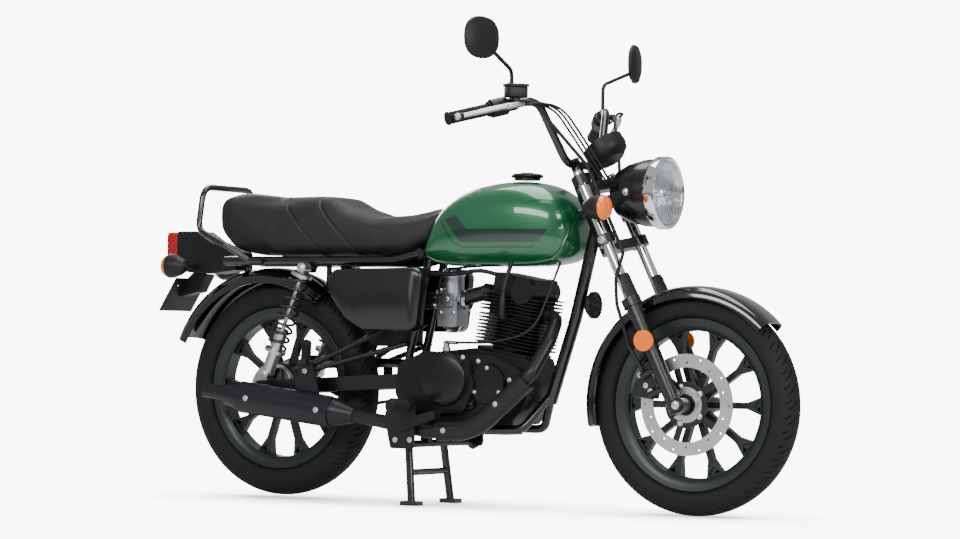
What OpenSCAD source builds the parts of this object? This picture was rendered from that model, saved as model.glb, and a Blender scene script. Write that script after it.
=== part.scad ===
// Standard motorcycle with an air-cooled single-cylinder engine, parked on its centre stand.
// X points forward, Y to the rider's left and Z up. The origin is on the ground,
// under the middle of the machine's box. All lengths are in millimetres.

/* [Chassis] */
// Length from the tail lens to the front tyre
overall_l = 2012; // [1980:1:2060]
// Distance between the axles
wheelbase = 1320; // [1300:1:1340]
// Angle of the steering axis from the vertical
rake = 26; // [25:0.5:27]
// Distance on the ground from the steering axis to the front contact point
trail = 75; // [70:1:80]
// Height of the rear tyre above the ground while the centre stand is down
stand_lift = 8; // [5:1:12]
// Distance from the rear axle to the swingarm pivot
swingarm_l = 445; // [435:1:455]
// Height of the swingarm pivot
pivot_z = 345; // [340:1:350]
// Height of the seat rails' middle line
rail_z = 676; // [670:1:682]

/* [Wheels] */
// Outer radius of the front tyre
front_tyre_r = 296; // [290:1:300]
// Section width of the front tyre
front_tyre_w = 84; // [80:1:90]
// Outer radius of the rear tyre
rear_tyre_r = 306; // [300:1:310]
// Section width of the rear tyre
rear_tyre_w = 100; // [94:1:106]
// Radius of the rims' outer flange
rim_r = 230; // [226:1:234]
// Width of the front rim
front_rim_w = 62; // [56:1:68]
// Width of the rear rim
rear_rim_w = 74; // [68:1:80]
// Number of spokes in each cast wheel
spokes = 10; // [6:1:12]
// Radius of both axles
axle_r = 7.5; // [6.5:0.5:9]

/* [Front brake] */
// Outer radius of the brake disc
disc_r = 135; // [125:1:140]
// Thickness of the brake disc
disc_t = 4.5; // [4:0.5:6]
// Distance from the wheel's middle to the disc's middle
disc_y = 61; // [59:0.5:63]

/* [Fork] */
// Distance from the machine's middle to each fork leg
fork_y = 95; // [93:1:98]
// Distance from the steering axis to the fork legs
fork_offset = 46; // [42:1:50]
// Radius of the fork tubes
tube_r = 15; // [14:0.5:16]
// Radius of the fork sliders
slider_r = 21; // [20:0.5:22]
// Length of the fork sliders above the axle
slider_l = 320; // [300:1:340]
// Distance along the steering axis from the axle to the lower yoke
lower_yoke_u = 478; // [470:1:486]
// Distance along the steering axis from the axle to the upper yoke
upper_yoke_u = 655; // [645:1:665]
// Thickness of the yokes
yoke_t = 28; // [24:1:32]

/* [Handlebar] */
// Width across the ends of the handlebar
bar_w = 804; // [780:2:820]
// Radius of the handlebar tube
bar_r = 11.1; // [10.5:0.1:12]
// Height of the handlebar's shoulders above its clamp
bar_rise = 170; // [150:1:190]
// Distance from the clamp back to the grips' ends
bar_pullback = 191; // [170:1:210]

/* [Tank and seat] */
// Length of the fuel tank
tank_l = 470; // [450:1:480]
// Width of the fuel tank
tank_w = 262; // [250:2:280]
// Height of the fuel tank
tank_h = 238; // [230:1:250]
// Length of the seat
seat_l = 752; // [730:1:770]
// Width of the seat at the passenger's place
seat_w = 244; // [230:2:260]
// Height of the seat's rear end above its base
seat_h = 176; // [165:1:190]

/* [Engine] */
// Angle of the cylinder forward of the vertical
bank_angle = 10; // [8:0.5:12]
// Number of fins on the barrel
barrel_fins = 9; // [7:1:11]
// Distance between the fins
fin_pitch = 9.6; // [8.6:0.1:10.2]
// Thickness of the fins
fin_t = 2.6; // [2:0.1:3.4]
// Width of the crankcase between its covers
case_w = 164; // [156:2:172]

/* [Exhaust] */
// Radius of the header pipe
header_r = 19; // [17:0.5:21]
// Radius of the silencer
muffler_r = 41; // [38:0.5:44]
// Length of the silencer's body
muffler_l = 392; // [370:1:400]

/* [Hidden] */
$fn = 64;

// Shared clearances
seat_gap = 0.3;
run_gap = 0.05;
overrun = 2;

// Sides of round sections that are swept along a path
pipe_sides = 12;
cable_sides = 8;

// Places of the axles, the pivot and the steering axis
front_axle_x = overall_l / 2 - front_tyre_r;
rear_axle_x = front_axle_x - wheelbase;
rear_axle_z = rear_tyre_r + stand_lift;
front_axle = [front_axle_x, 0, front_tyre_r];
rear_axle = [rear_axle_x, 0, rear_axle_z];
pivot_x = rear_axle_x + swingarm_l;
axle_lead = front_tyre_r * sin(rake) - trail * cos(rake);
steer_up = [-sin(rake), 0, cos(rake)];
steer_fore = [cos(rake), 0, sin(rake)];
steer_origin = front_axle - axle_lead * steer_fore;

function unit(v) = v / norm(v);
function at_steer(fore, side, up) = steer_origin + fore * steer_fore + [0, side, 0] + up * steer_up;
function at_side(p, s) = [p[0], s * p[1], p[2]];
function turn(a, b, c) = acos(min(1, max(-1, unit(b - a) * unit(c - b))));

// Points of a path whose corners are rounded to one bend radius
function bend_points(a, b, c, bend, steps) =
    let (u = unit(b - a), v = unit(c - b), angle = turn(a, b, c),
        centre = b + unit(v - u) * bend / cos(angle / 2),
        out = unit(b - u * bend * tan(angle / 2) - centre))
    [for (k = [0 : steps]) centre + bend * (cos(angle * k / steps) * out + sin(angle * k / steps) * u)];
function rounded_path(p, bend, steps = 4) =
    [p[0], for (i = [1 : 1 : len(p) - 2]) each bend_points(p[i - 1], p[i], p[i + 1], bend, steps), p[len(p) - 1]];
function tangents(p) = let (n = len(p) - 1)
    [for (i = [0 : n]) unit(unit(p[min(i + 1, n)] - p[min(i, n - 1)]) + unit(p[max(i, 1)] - p[max(i - 1, 0)]))];
function carried(t, side, i = 0) = i == len(t) ? [] :
    let (s = unit(side - t[i] * (side * t[i]))) concat([s], carried(t, s, i + 1));
function first_side(t) = abs(t[1]) < 0.7 ? cross(t, [0, 1, 0]) : cross(t, [0, 0, 1]);

// Power curve that squares up a circle: 2 is round, larger is squarer
function squared(c, power) = sign(c) * pow(abs(c), 2 / power);

// Corners of an outline replaced by arcs
function rounded_outline(p, r, steps = 5) = let (n = len(p))
    [for (i = [0 : n - 1])
        let (a = p[(i + n - 1) % n], b = p[i], c = p[(i + 1) % n], u = unit(a - b), v = unit(c - b),
            half = acos(min(1, max(-1, u * v))) / 2, radius = is_list(r) ? r[i] : r,
            centre = b + unit(u + v) * radius / sin(half),
            from = b + u * radius / tan(half) - centre, to = b + v * radius / tan(half) - centre)
        for (k = [0 : steps]) centre + radius * unit(from * (1 - k / steps) + to * k / steps)];

// Closed skin through rings of equal count
module loft(rings) {
    n = len(rings[0]);
    m = len(rings);
    polyhedron(points = [for (ring = rings) each ring], faces = concat(
        [[for (i = [0 : n - 1]) i], [for (i = [n - 1 : -1 : 0]) (m - 1) * n + i]],
        [for (j = [0 : m - 2]) for (i = [0 : n - 1]) let (k = (i + 1) % n)
            each [[j * n + i, (j + 1) * n + i, (j + 1) * n + k], [j * n + i, (j + 1) * n + k, j * n + k]]]));
}

// Round section swept along a path
module sweep(p, r, sides = pipe_sides) {
    t = tangents(p);
    a = carried(t, first_side(t[0]));
    loft([for (i = [0 : len(p) - 1]) let (b = cross(t[i], a[i]))
        [for (k = [0 : sides - 1]) p[i] + r * (cos(360 * k / sides) * a[i] + sin(360 * k / sides) * b)]]);
}

// Straight round bar between two points
module bar(a, b, r) {
    d = b - a;
    translate(a) rotate([0, acos(d[2] / norm(d)), atan2(d[1], d[0])]) cylinder(h = norm(d), r = r);
}

// Turned piece on an axis from one point towards another, from a profile of radius and height
module turned(a, b, profile) {
    d = b - a;
    translate(a) rotate([0, acos(d[2] / norm(d)), atan2(d[1], d[0])]) rotate_extrude() polygon(profile);
}

// Cylinder across the machine at a point in the side view
module cross_bar(x, z, y0, y1, r) {
    translate([x, y1, z]) rotate([90, 0, 0]) cylinder(h = y1 - y0, r = r);
}

// Plate in the side view between two distances from the machine's middle
module side_plate(outline, y0, y1) {
    translate([0, y1, 0]) rotate([90, 0, 0]) linear_extrude(height = y1 - y0) polygon(outline);
}

// Frame of the steering: Z runs up the steering axis and X points ahead of it
module in_steering() {
    translate(steer_origin) rotate([0, -rake, 0]) children();
}

// Frame of a wheel: Z runs along the axle, to the rider's right
module on_axle(axle) {
    translate(axle) rotate([90, 0, 0]) children();
}

// Tyres and wheels

// Radius where the beads sit on the rims
bead_r = rim_r - 13;
// Half width of the tyre at its beads, less than the rim
bead_inset = 5;
// Play between the bead and the rim's flange
bead_play = 0.5;
// Height of the widest place of the tyre, as a share of its section
tyre_belly_share = 0.42;
tyre_square = 2.35;

module tyre(outer_r, width, rim_w) {
    belly_r = bead_r + tyre_belly_share * (outer_r - bead_r);
    bead_half = rim_w / 2 - bead_inset - bead_play;
    edge_r = rim_r + bead_play * 3;
    crown = [for (a = [0 : 12 : 180])
        [belly_r + (outer_r - belly_r) * squared(sin(a), tyre_square), width / 2 * squared(cos(a), tyre_square)]];
    flank = [for (b = [18 : 18 : 90])
        [belly_r - (belly_r - edge_r) * sin(b), -bead_half - (width / 2 - bead_half) * cos(b)]];
    flank_up = [for (b = [90 : -18 : 18])
        [belly_r - (belly_r - edge_r) * sin(b), bead_half + (width / 2 - bead_half) * cos(b)]];
    rotate_extrude($fn = 96) polygon(concat(crown, flank, [[bead_r, -bead_half], [bead_r, bead_half]], flank_up));
}

// Rim section: flange, bead seat, well and inner edge
rim_flange_t = 4;
rim_inner_r = rim_r - 34;
rim_well_r = rim_r - 26;
rim_seat_r = bead_r - seat_gap;

module rim(width) {
    half = width / 2;
    well_half = half / 2;
    side = [[rim_inner_r, 0], [rim_inner_r, half - rim_flange_t * 3], [rim_seat_r - rim_flange_t * 2, half - rim_flange_t],
        [rim_r, half], [rim_r, half - rim_flange_t], [rim_seat_r, half - bead_inset], [rim_seat_r, well_half + bead_inset],
        [rim_well_r, well_half - bead_inset]];
    rotate_extrude($fn = 96) polygon(concat(side, [for (i = [len(side) - 1 : -1 : 1]) [side[i][0], -side[i][1]]]));
}

// Spoke arms, which fork in two before the rim
spoke_w = 17;
spoke_t = 22;
spoke_fork_r = rim_r - 78;
spoke_fork_spread = 27;
spoke_web = 13;
spoke_root_r = 30;
spoke_window_inset = 10;

module spoke_outline() {
    reach = rim_inner_r + rim_flange_t;
    fork_in = spoke_fork_r + spoke_window_inset * 2;
    difference() {
        polygon([[spoke_root_r, -spoke_w / 2], [spoke_fork_r, -spoke_w / 2], [reach, -spoke_fork_spread],
            [reach, spoke_fork_spread], [spoke_fork_r, spoke_w / 2], [spoke_root_r, spoke_w / 2]]);
        polygon([[fork_in, 0], [reach - spoke_window_inset, -spoke_fork_spread + spoke_window_inset],
            [reach - spoke_window_inset, spoke_fork_spread - spoke_window_inset]]);
    }
}

module spoke_ring() {
    for (k = [0 : spokes - 1]) rotate(360 * k / spokes) translate([0, 0, -spoke_t / 2]) {
        linear_extrude(height = spoke_t) spoke_outline();
        translate([0, 0, spoke_t / 2 - spoke_web / 2]) linear_extrude(height = spoke_web)
            polygon([[spoke_fork_r, -spoke_w / 2], [rim_inner_r, -spoke_fork_spread + spoke_window_inset],
                [rim_inner_r, spoke_fork_spread - spoke_window_inset], [spoke_fork_r, spoke_w / 2]]);
    }
}

front_hub_r = 36;
front_hub_half = 46;
rear_hub_r = 74;
rear_hub_half = 48;
hub_shoulder = 8;

module front_wheel() color([0.13, 0.15, 0.15]) on_axle(front_axle) difference() {
    union() {
        rim(front_rim_w);
        spoke_ring();
        translate([0, 0, -front_hub_half]) cylinder(h = front_hub_half * 2, r = front_hub_r);
        translate([0, 0, front_hub_half - hub_shoulder]) cylinder(h = disc_y - disc_t / 2 - front_hub_half + hub_shoulder, r = disc_hub_r);
    }
    translate([0, 0, -disc_y - overrun]) cylinder(h = disc_y * 2 + overrun * 2, r = axle_r + run_gap);
}

module rear_wheel() color([0.13, 0.15, 0.15]) on_axle(rear_axle) difference() {
    union() {
        rim(rear_rim_w);
        spoke_ring();
        translate([0, 0, -rear_hub_half]) cylinder(h = rear_hub_half * 2, r = rear_hub_r);
    }
    translate([0, 0, -rear_hub_half - overrun]) cylinder(h = rear_hub_half * 2 + overrun * 2, r = axle_r + run_gap);
}

module front_tyre() color([0.05, 0.05, 0.05]) on_axle(front_axle) tyre(front_tyre_r, front_tyre_w, front_rim_w);
module rear_tyre() color([0.05, 0.05, 0.05]) on_axle(rear_axle) tyre(rear_tyre_r, rear_tyre_w, rear_rim_w);

// Brake disc: a drilled ring on a black carrier, with the wheel speed sensor's toothed ring
disc_hub_r = 52;
disc_band = 36;
disc_carrier_arms = 5;
disc_arm_w = 18;
disc_holes = 20;
disc_hole_r = 3.2;
tone_r = 62;
tone_t = 3;
disc_bore_r = 22;

module brake_disc() color([0.62, 0.63, 0.65]) on_axle(front_axle) translate([0, 0, disc_y - disc_t / 2]) difference() {
    union() {
        difference() {
            cylinder(h = disc_t, r = disc_r);
            translate([0, 0, -overrun]) cylinder(h = disc_t + overrun * 2, r = disc_r - disc_band);
        }
        cylinder(h = disc_t, r = disc_hub_r);
        for (k = [0 : disc_carrier_arms - 1]) rotate(360 * (k + 0.5) / disc_carrier_arms)
            translate([0, -disc_arm_w / 2, 0]) cube([disc_r - disc_band / 2, disc_arm_w, disc_t]);
        translate([0, 0, disc_t - seat_gap]) cylinder(h = tone_t + seat_gap, r = tone_r);
    }
    translate([0, 0, -overrun]) cylinder(h = disc_t + tone_t + overrun * 2, r = disc_bore_r);
    for (k = [0 : disc_holes - 1]) rotate(360 * k / disc_holes)
        translate([disc_r - disc_band * (k % 2 == 0 ? 0.3 : 0.65), 0, -overrun]) cylinder(h = disc_t + overrun * 2, r = disc_hole_r, $fn = 16);
}

// Front axle, with its nut and head outside the sliders
axle_nut_r = 12;
axle_nut_h = 10;
slider_lug_r = 20;
slider_half_w = 21;
axle_collar_r = 13;

module front_axle() color([0.6, 0.6, 0.62]) {
    outer = fork_y + slider_half_w + seat_gap;
    inner = fork_y - slider_half_w - seat_gap;
    on_axle(front_axle) {
        translate([0, 0, -outer]) cylinder(h = outer * 2, r = axle_r);
        for (s = [0, 1]) mirror([0, 0, s]) {
            translate([0, 0, outer]) cylinder(h = axle_nut_h, r = axle_nut_r, $fn = 6);
        }
        translate([0, 0, -inner]) cylinder(h = inner - front_hub_half - seat_gap, r = axle_collar_r);
        translate([0, 0, disc_y + disc_t / 2 + tone_t]) cylinder(h = inner - disc_y - disc_t / 2 - tone_t, r = axle_collar_r);
    }
}

// Fork: sliders, tubes and yokes
slider_foot = 18;
slider_bore_floor = 90;
slider_collar_r = 26;
slider_collar_h = 24;
tube_top = upper_yoke_u + yoke_t + 8;
caliper_lug_r = 9;
caliper_lug_low = 62;
caliper_lug_high = 118;
caliper_lug_l = 58;

module fork_sliders() color([0.04, 0.04, 0.045]) for (s = [-1, 1]) in_steering() difference() {
    union() {
        translate([fork_offset, s * fork_y, -slider_foot]) cylinder(h = slider_l + slider_foot, r = slider_r);
        translate([fork_offset, s * fork_y, slider_l - slider_collar_h]) cylinder(h = slider_collar_h, r = slider_collar_r);
        translate([axle_lead, s * fork_y + slider_half_w, 0]) rotate([90, 0, 0]) cylinder(h = slider_half_w * 2, r = slider_lug_r);
        if (s < 0) for (u = [caliper_lug_low, caliper_lug_high])
            translate([fork_offset - caliper_lug_l, s * fork_y, u]) rotate([0, 90, 0]) cylinder(h = caliper_lug_l, r = caliper_lug_r);
    }
    translate([fork_offset, s * fork_y, slider_bore_floor]) cylinder(h = slider_l, r = tube_r + seat_gap);
    translate([axle_lead, s * fork_y + slider_half_w + overrun, 0]) rotate([90, 0, 0])
        cylinder(h = slider_half_w * 2 + overrun * 2, r = axle_r + seat_gap);
}

module fork_tubes() color([0.8, 0.8, 0.82]) for (s = [-1, 1]) in_steering()
    translate([fork_offset, s * fork_y, slider_bore_floor]) cylinder(h = tube_top - slider_bore_floor, r = tube_r);

stem_r = 14;
yoke_clamp_r = 25;
yoke_web_w = 44;
head_gap = 1.5;

module yoke_plate(u, t) {
    translate([0, 0, u]) difference() {
        union() {
            cylinder(h = t, r = yoke_clamp_r + seat_gap);
            for (s = [-1, 1]) {
                translate([fork_offset, s * fork_y, 0]) cylinder(h = t, r = yoke_clamp_r);
                linear_extrude(height = t) polygon([[-yoke_web_w / 2, 0], [yoke_web_w / 2, 0],
                    [fork_offset + yoke_web_w / 3, s * fork_y], [fork_offset - yoke_web_w / 3, s * fork_y]]);
            }
        }
        for (s = [-1, 1]) translate([fork_offset, s * fork_y, -overrun]) cylinder(h = t + overrun * 2, r = tube_r + seat_gap);
    }
}

// Handlebar risers on the upper yoke
riser_y = 46;
riser_r = 15;
riser_h = 48;
riser_fore = 25;
bar_centre = at_steer(riser_fore, 0, upper_yoke_u + yoke_t + riser_h);

module yokes() color([0.05, 0.05, 0.055]) difference() {
    union() {
        in_steering() {
            yoke_plate(lower_yoke_u, yoke_t);
            yoke_plate(upper_yoke_u, yoke_t);
            translate([0, 0, lower_yoke_u]) cylinder(h = upper_yoke_u + yoke_t - lower_yoke_u, r = stem_r);
            for (s = [-1, 1]) translate([riser_fore, s * riser_y, upper_yoke_u + yoke_t - overrun])
                cylinder(h = riser_h + riser_r + overrun, r = riser_r);
        }
    }
    translate(bar_centre) rotate([90, 0, 0]) cylinder(h = riser_y * 4, r = bar_r + seat_gap, center = true);
}

// Handlebar: clamped in the middle, rising and swept back to the grips
bar_clamp_half = 93;
bar_shoulder_y = 195;
bar_shoulder_back = 38;
bar_tip_rise = 106;
bar_bend = 52;
bar_points = [bar_centre, bar_centre + [0, bar_clamp_half, 0], bar_centre + [-bar_shoulder_back, bar_shoulder_y, bar_rise],
    bar_centre + [-bar_pullback, bar_w / 2, bar_tip_rise]];
bar_half = rounded_path(bar_points, bar_bend, 5);
bar_full = concat([for (i = [len(bar_half) - 1 : -1 : 1]) at_side(bar_half[i], -1)], [for (i = [1 : len(bar_half) - 1]) bar_half[i]]);

module handlebar() color([0.03, 0.03, 0.035]) sweep(bar_full, bar_r);

// Direction of the grips, from the end of the bar inwards
grip_in = unit(bar_points[2] - bar_points[3]);
function on_grip(l, s) = at_side(bar_points[3] + l * grip_in, s);
grip_l = 124;
grip_r = 16.5;
grip_flange_r = 21;
grip_flange_t = 5;

module hand_grips() color([0.03, 0.03, 0.03]) for (s = [-1, 1]) difference() {
    union() {
        bar(on_grip(-overrun, s), on_grip(grip_l, s), grip_r);
        bar(on_grip(grip_l - grip_flange_t, s), on_grip(grip_l, s), grip_flange_r);
        bar(on_grip(-overrun, s), on_grip(grip_flange_t - overrun, s), grip_flange_r - overrun);
    }
    bar(on_grip(-seat_gap, s), on_grip(grip_l + overrun, s), bar_r + seat_gap);
}

// Switch housings, lever perches, levers and the front brake's reservoir
switch_r = 25;
switch_l = 44;
perch_l = 26;
perch_r = 18;
perch_gap = 4;
lever_fore = 46;
lever_r = 6;
lever_end_l = 22;
lever_ball_r = 9;
reservoir_l = 58;
reservoir_w = 40;
reservoir_h = 38;
reservoir_up = 12;
perch_from = grip_l + perch_gap + switch_l + perch_gap;
grip_fore = unit(cross([0, 0, 1], grip_in));
function ahead_of_grip(l, fore, up, s) = at_side(bar_points[3] + l * grip_in + fore * grip_fore + [0, 0, up], s);

module hand_controls() color([0.05, 0.05, 0.055]) for (s = [-1, 1]) {
    difference() {
        bar(on_grip(grip_l + perch_gap, s), on_grip(grip_l + perch_gap + switch_l, s), switch_r);
        bar(on_grip(grip_l, s), on_grip(perch_from, s), bar_r + seat_gap);
    }
    difference() {
        union() {
            bar(on_grip(perch_from, s), on_grip(perch_from + perch_l, s), perch_r);
            bar(on_grip(perch_from + perch_l / 2, s), ahead_of_grip(perch_from + perch_l / 2, lever_fore, 0, s), lever_ball_r);
            sweep(rounded_path([ahead_of_grip(perch_from + perch_l, lever_fore, 0, s), ahead_of_grip(grip_l, lever_fore + lever_r, 0, s),
                ahead_of_grip(lever_end_l, lever_fore, 0, s)], grip_l / 2), lever_r, cable_sides);
            translate(ahead_of_grip(lever_end_l, lever_fore, 0, s)) sphere(r = lever_ball_r);
        }
        bar(on_grip(perch_from - overrun, s), on_grip(perch_from + perch_l + overrun, s), bar_r + seat_gap);
    }
}

// Mirrors: oval heads on cranked stems
mirror_half_w = 64;
mirror_half_h = 56;
mirror_t = 20;
mirror_y = 426;
mirror_rise = 315;
mirror_back = 80;
mirror_stem_r = 5.5;
mirror_stem_up = 70;
mirror_yaw = 14;
mirror_square = 2.4;
mirror_ring_shares = [[0, 0.9], [0.2, 1], [0.55, 0.96], [0.85, 0.7], [1, 0.4]];

module mirrors() color([0.04, 0.04, 0.045]) for (s = [-1, 1]) {
    centre = bar_centre + [-mirror_back, s * mirror_y, mirror_rise];
    foot = on_grip(perch_from + perch_l / 2, s) + [0, 0, perch_r * 1.1 + seat_gap];
    knee = foot + [0, 0, mirror_stem_up];
    translate(centre) rotate([0, 0, s * mirror_yaw]) loft([for (k = mirror_ring_shares)
        [for (a = [0 : 15 : 345]) [mirror_t * k[0], mirror_half_w * k[1] * squared(cos(a), mirror_square),
            mirror_half_h * k[1] * squared(sin(a), mirror_square)]]]);
    sweep(rounded_path([foot, knee, centre + [mirror_t * 0.7, -s * mirror_half_w * 0.5, -mirror_half_h * 0.5]], mirror_stem_up / 3),
        mirror_stem_r, cable_sides);
}

// Headlamp: bowl on two ears that clamp the fork tubes, chrome rim and domed lens
lamp_x = front_axle_x - 96;
lamp_z = 860;
lamp_r = 98;
lamp_lens_r = 86;
lamp_rim_w = 30;
lamp_bowl_r = 92;
lamp_bowl_l = 128;
lamp_back_r = 52;
lamp_dome = 14;
ear_t = 5;
ear_u = 585;
ear_h = 46;
ear_clamp_r = 20;
ear_bolt_x = lamp_x - 72;
lamp_face = [lamp_x, 0, lamp_z];
lamp_back = lamp_face - [1, 0, 0];

module headlamp_bowl() color([0.04, 0.04, 0.045]) difference() {
    union() {
        turned(lamp_face - [lamp_rim_w, 0, 0], lamp_back - [lamp_rim_w, 0, 0], [[0, 0], [lamp_bowl_r, 0], [lamp_bowl_r - 2, lamp_bowl_l * 0.25],
            [lamp_bowl_r * 0.86, lamp_bowl_l * 0.6], [lamp_back_r * 1.2, lamp_bowl_l * 0.86], [lamp_back_r * 0.8, lamp_bowl_l * 0.97], [0, lamp_bowl_l]]);
        for (s = [-1, 1]) {
            in_steering() translate([fork_offset, s * fork_y, ear_u - ear_h / 2]) cylinder(h = ear_h, r = ear_clamp_r);
            translate([0, s * (fork_y - ear_clamp_r + ear_t), 0]) side_plate([
                [ear_bolt_x, lamp_z - ear_h / 3], [ear_bolt_x + ear_h / 3, lamp_z], [ear_bolt_x, lamp_z + ear_h / 3],
                ear_in(ear_h / 2), ear_in(-ear_h / 2)], -ear_t / 2, ear_t / 2);
            cross_bar(ear_bolt_x, lamp_z, s > 0 ? 0 : -fork_y + ear_clamp_r, s > 0 ? fork_y - ear_clamp_r : 0, ear_t);
        }
    }
    for (s = [-1, 1]) in_steering() translate([fork_offset, s * fork_y, ear_u - ear_h]) cylinder(h = ear_h * 2, r = tube_r + seat_gap);
}
function ear_in(up) = let (p = at_steer(fork_offset, 0, ear_u + up)) [p[0], p[2]];

module headlamp_rim() color([0.85, 0.86, 0.88]) turned(lamp_face, lamp_back, [[lamp_lens_r + seat_gap, 0], [lamp_lens_r + 6, -4],
    [lamp_r, 0], [lamp_r, lamp_rim_w * 0.7], [lamp_bowl_r, lamp_rim_w], [lamp_lens_r + seat_gap, lamp_rim_w]]);

module headlamp_lens() color([0.9, 0.92, 0.94]) turned(lamp_face, lamp_back, concat([[0, lamp_rim_w - seat_gap], [lamp_lens_r, lamp_rim_w - seat_gap]],
    [for (a = [0 : 15 : 90]) [lamp_lens_r * cos(a), 2 - lamp_dome * sin(a)]]));

// Instrument: one round meter that faces the rider, on a bracket from the upper yoke
meter_r = 59;
meter_h = 56;
meter_tilt = 36;
meter_fore = 106;
meter_up = 48;
meter_step = 5;
meter_bracket_r = 9;
meter_centre = at_steer(meter_fore, 0, upper_yoke_u + yoke_t + meter_up);
meter_axis = [-sin(meter_tilt), 0, cos(meter_tilt)];

module instrument() color([0.04, 0.04, 0.045]) {
    turned(meter_centre - meter_axis * meter_h / 2, meter_centre, [[0, 0], [meter_r * 0.6, 0], [meter_r * 0.92, meter_h * 0.3], [meter_r, meter_h * 0.55],
        [meter_r, meter_h], [meter_r - meter_step, meter_h], [meter_r - meter_step * 1.5, meter_h - meter_step], [0, meter_h - meter_step]]);
    bar(meter_centre - meter_axis * meter_h * 0.3, at_steer(yoke_web_w / 4, 0, upper_yoke_u + yoke_t + meter_bracket_r + seat_gap), meter_bracket_r);
}

// Front fender: a short guard that follows the tyre, held by tabs on the sliders
fender_gap = 17;
fender_t = 3;
front_fender_half = 62;
front_fender_drop = 34;
fender_from = 44;
fender_to = 192;
tab_r = 11;
tab_u = slider_l - slider_collar_h - tab_r - 1;

module fender_skin(inner_r, half, drop, from, to) {
    outer = inner_r + fender_t;
    outline = [for (a = [0 : 12 : 180]) [outer - drop + drop * squared(sin(a), 3), half * squared(cos(a), 3)]];
    inside = [for (a = [180 : -12 : 0]) [outer - drop + (drop - fender_t) * squared(sin(a), 3), (half - fender_t) * squared(cos(a), 3)]];
    rotate([90, 0, 0]) rotate(from) rotate_extrude(angle = to - from, $fn = 96) polygon(concat(outline, inside));
}

module front_fender() color([0.04, 0.04, 0.045]) {
    tab = at_steer(fork_offset, 0, tab_u);
    translate(front_axle) fender_skin(front_tyre_r + fender_gap, front_fender_half, front_fender_drop, fender_from, fender_to);
    for (s = [-1, 1]) {
        inner = front_fender_half - fender_t;
        outer = fork_y - slider_r - seat_gap;
        cross_bar(tab[0], tab[2], s > 0 ? inner : -outer, s > 0 ? outer : -inner, tab_r);
    }
}

// Indicators: egg-shaped bodies with domed lenses
blinker_r = 35;
blinker_l = 62;
blinker_lens_l = 24;
blinker_stem_r = 9;
blinker_front_y = 168;
blinker_front_fore = 68;
blinker_lens_shares = [[1, 0], [0.98, 0.3], [0.82, 0.65], [0.5, 0.9], [0, 1]];
blinker_body_shares = [[1, 0], [0.97, 0.2], [0.8, 0.55], [0.5, 0.85], [0, 1]];
blinker_front_seat = at_steer(fork_offset, 0, ear_u);
blinker_front_x = blinker_front_seat[0] + blinker_front_fore;
blinker_front_z = blinker_front_seat[2];

module blinker_body(face, ahead) {
    turned(face, face - ahead, [[0, 0], for (k = blinker_body_shares) [blinker_r * k[0], blinker_l * k[1]]]);
}
module blinker_lens(face, ahead) {
    turned(face + ahead * seat_gap, face + ahead, [[0, 0], for (k = blinker_lens_shares) [(blinker_r - 2) * k[0], blinker_lens_l * k[1]]]);
}

module front_indicators() color([0.04, 0.04, 0.045]) for (s = [-1, 1]) {
    face = [blinker_front_x, s * blinker_front_y, blinker_front_z];
    blinker_body(face, [1, 0, 0]);
    root = [blinker_front_seat[0], s * (fork_y + ear_clamp_r + seat_gap), blinker_front_z];
    bar(root, root + [0, s * blinker_stem_r, 0], blinker_stem_r);
    bar(root + [0, s * blinker_stem_r * 0.8, 0], face - [blinker_l * 0.4, 0, 0], blinker_stem_r * 0.9);
}

fork_reflector_r = 28;
fork_reflector_t = 8;
fork_reflector_u = 195;

module front_amber_lenses() color([0.95, 0.45, 0.08]) for (s = [-1, 1]) {
    blinker_lens([blinker_front_x, s * blinker_front_y, blinker_front_z], [1, 0, 0]);
    in_steering() translate([fork_offset, s * (fork_y + slider_r + seat_gap), fork_reflector_u]) rotate([-s * 90, 0, 0]) cylinder(h = fork_reflector_t, r = fork_reflector_r);
}

// Brake caliper behind the right slider, over the disc's edge
caliper_from = 140;
caliper_to = 172;
caliper_in_r = disc_r - 40;
caliper_out_r = disc_r + 18;
caliper_slot_r = disc_r + 6;
caliper_slot = 4;
caliper_half_in = 24;
caliper_y_out = fork_y - caliper_lug_r - seat_gap;

module brake_caliper() color([0.06, 0.06, 0.065]) on_axle(front_axle) rotate(caliper_from) rotate_extrude(angle = caliper_to - caliper_from)
    polygon([[caliper_in_r, disc_y - caliper_half_in], [caliper_out_r, disc_y - caliper_half_in], [caliper_out_r, caliper_y_out],
        [caliper_in_r, caliper_y_out], [caliper_in_r, disc_y + disc_t / 2 + caliper_slot], [caliper_slot_r, disc_y + disc_t / 2 + caliper_slot],
        [caliper_slot_r, disc_y - disc_t / 2 - caliper_slot], [caliper_in_r, disc_y - disc_t / 2 - caliper_slot]]);

// Brake hose and control cables on the steered side
hose_r = 5;
cable_r = 3.5;

hose_fore = fork_offset + yoke_clamp_r + hose_r + 3;

module control_cables() color([0.03, 0.03, 0.03]) {
    from = perch_from + perch_l + seat_gap;
    hose = [ahead_of_grip(from, bar_r + hose_r + 1, 0, -1), ahead_of_grip(from + perch_l * 1.4, perch_r + hose_r, 0, -1),
        at_steer(hose_fore, -fork_y, upper_yoke_u + yoke_t * 1.6), at_steer(hose_fore, -fork_y, lower_yoke_u - yoke_t * 1.4),
        at_steer(fork_offset, -fork_y - slider_collar_r - hose_r * 2, slider_l + slider_collar_h * 2.4),
        at_steer(fork_offset - slider_collar_r - hose_r * 2, -fork_y - hose_r * 3, slider_l),
        at_steer(fork_offset - caliper_lug_l, -fork_y, caliper_lug_high + caliper_lug_l * 1.5),
        at_steer(fork_offset - caliper_lug_l + caliper_lug_r, -fork_y, caliper_lug_high + caliper_lug_r + seat_gap * 4)];
    sweep(rounded_path(hose, hose_r * 5), hose_r, cable_sides);
}

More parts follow.
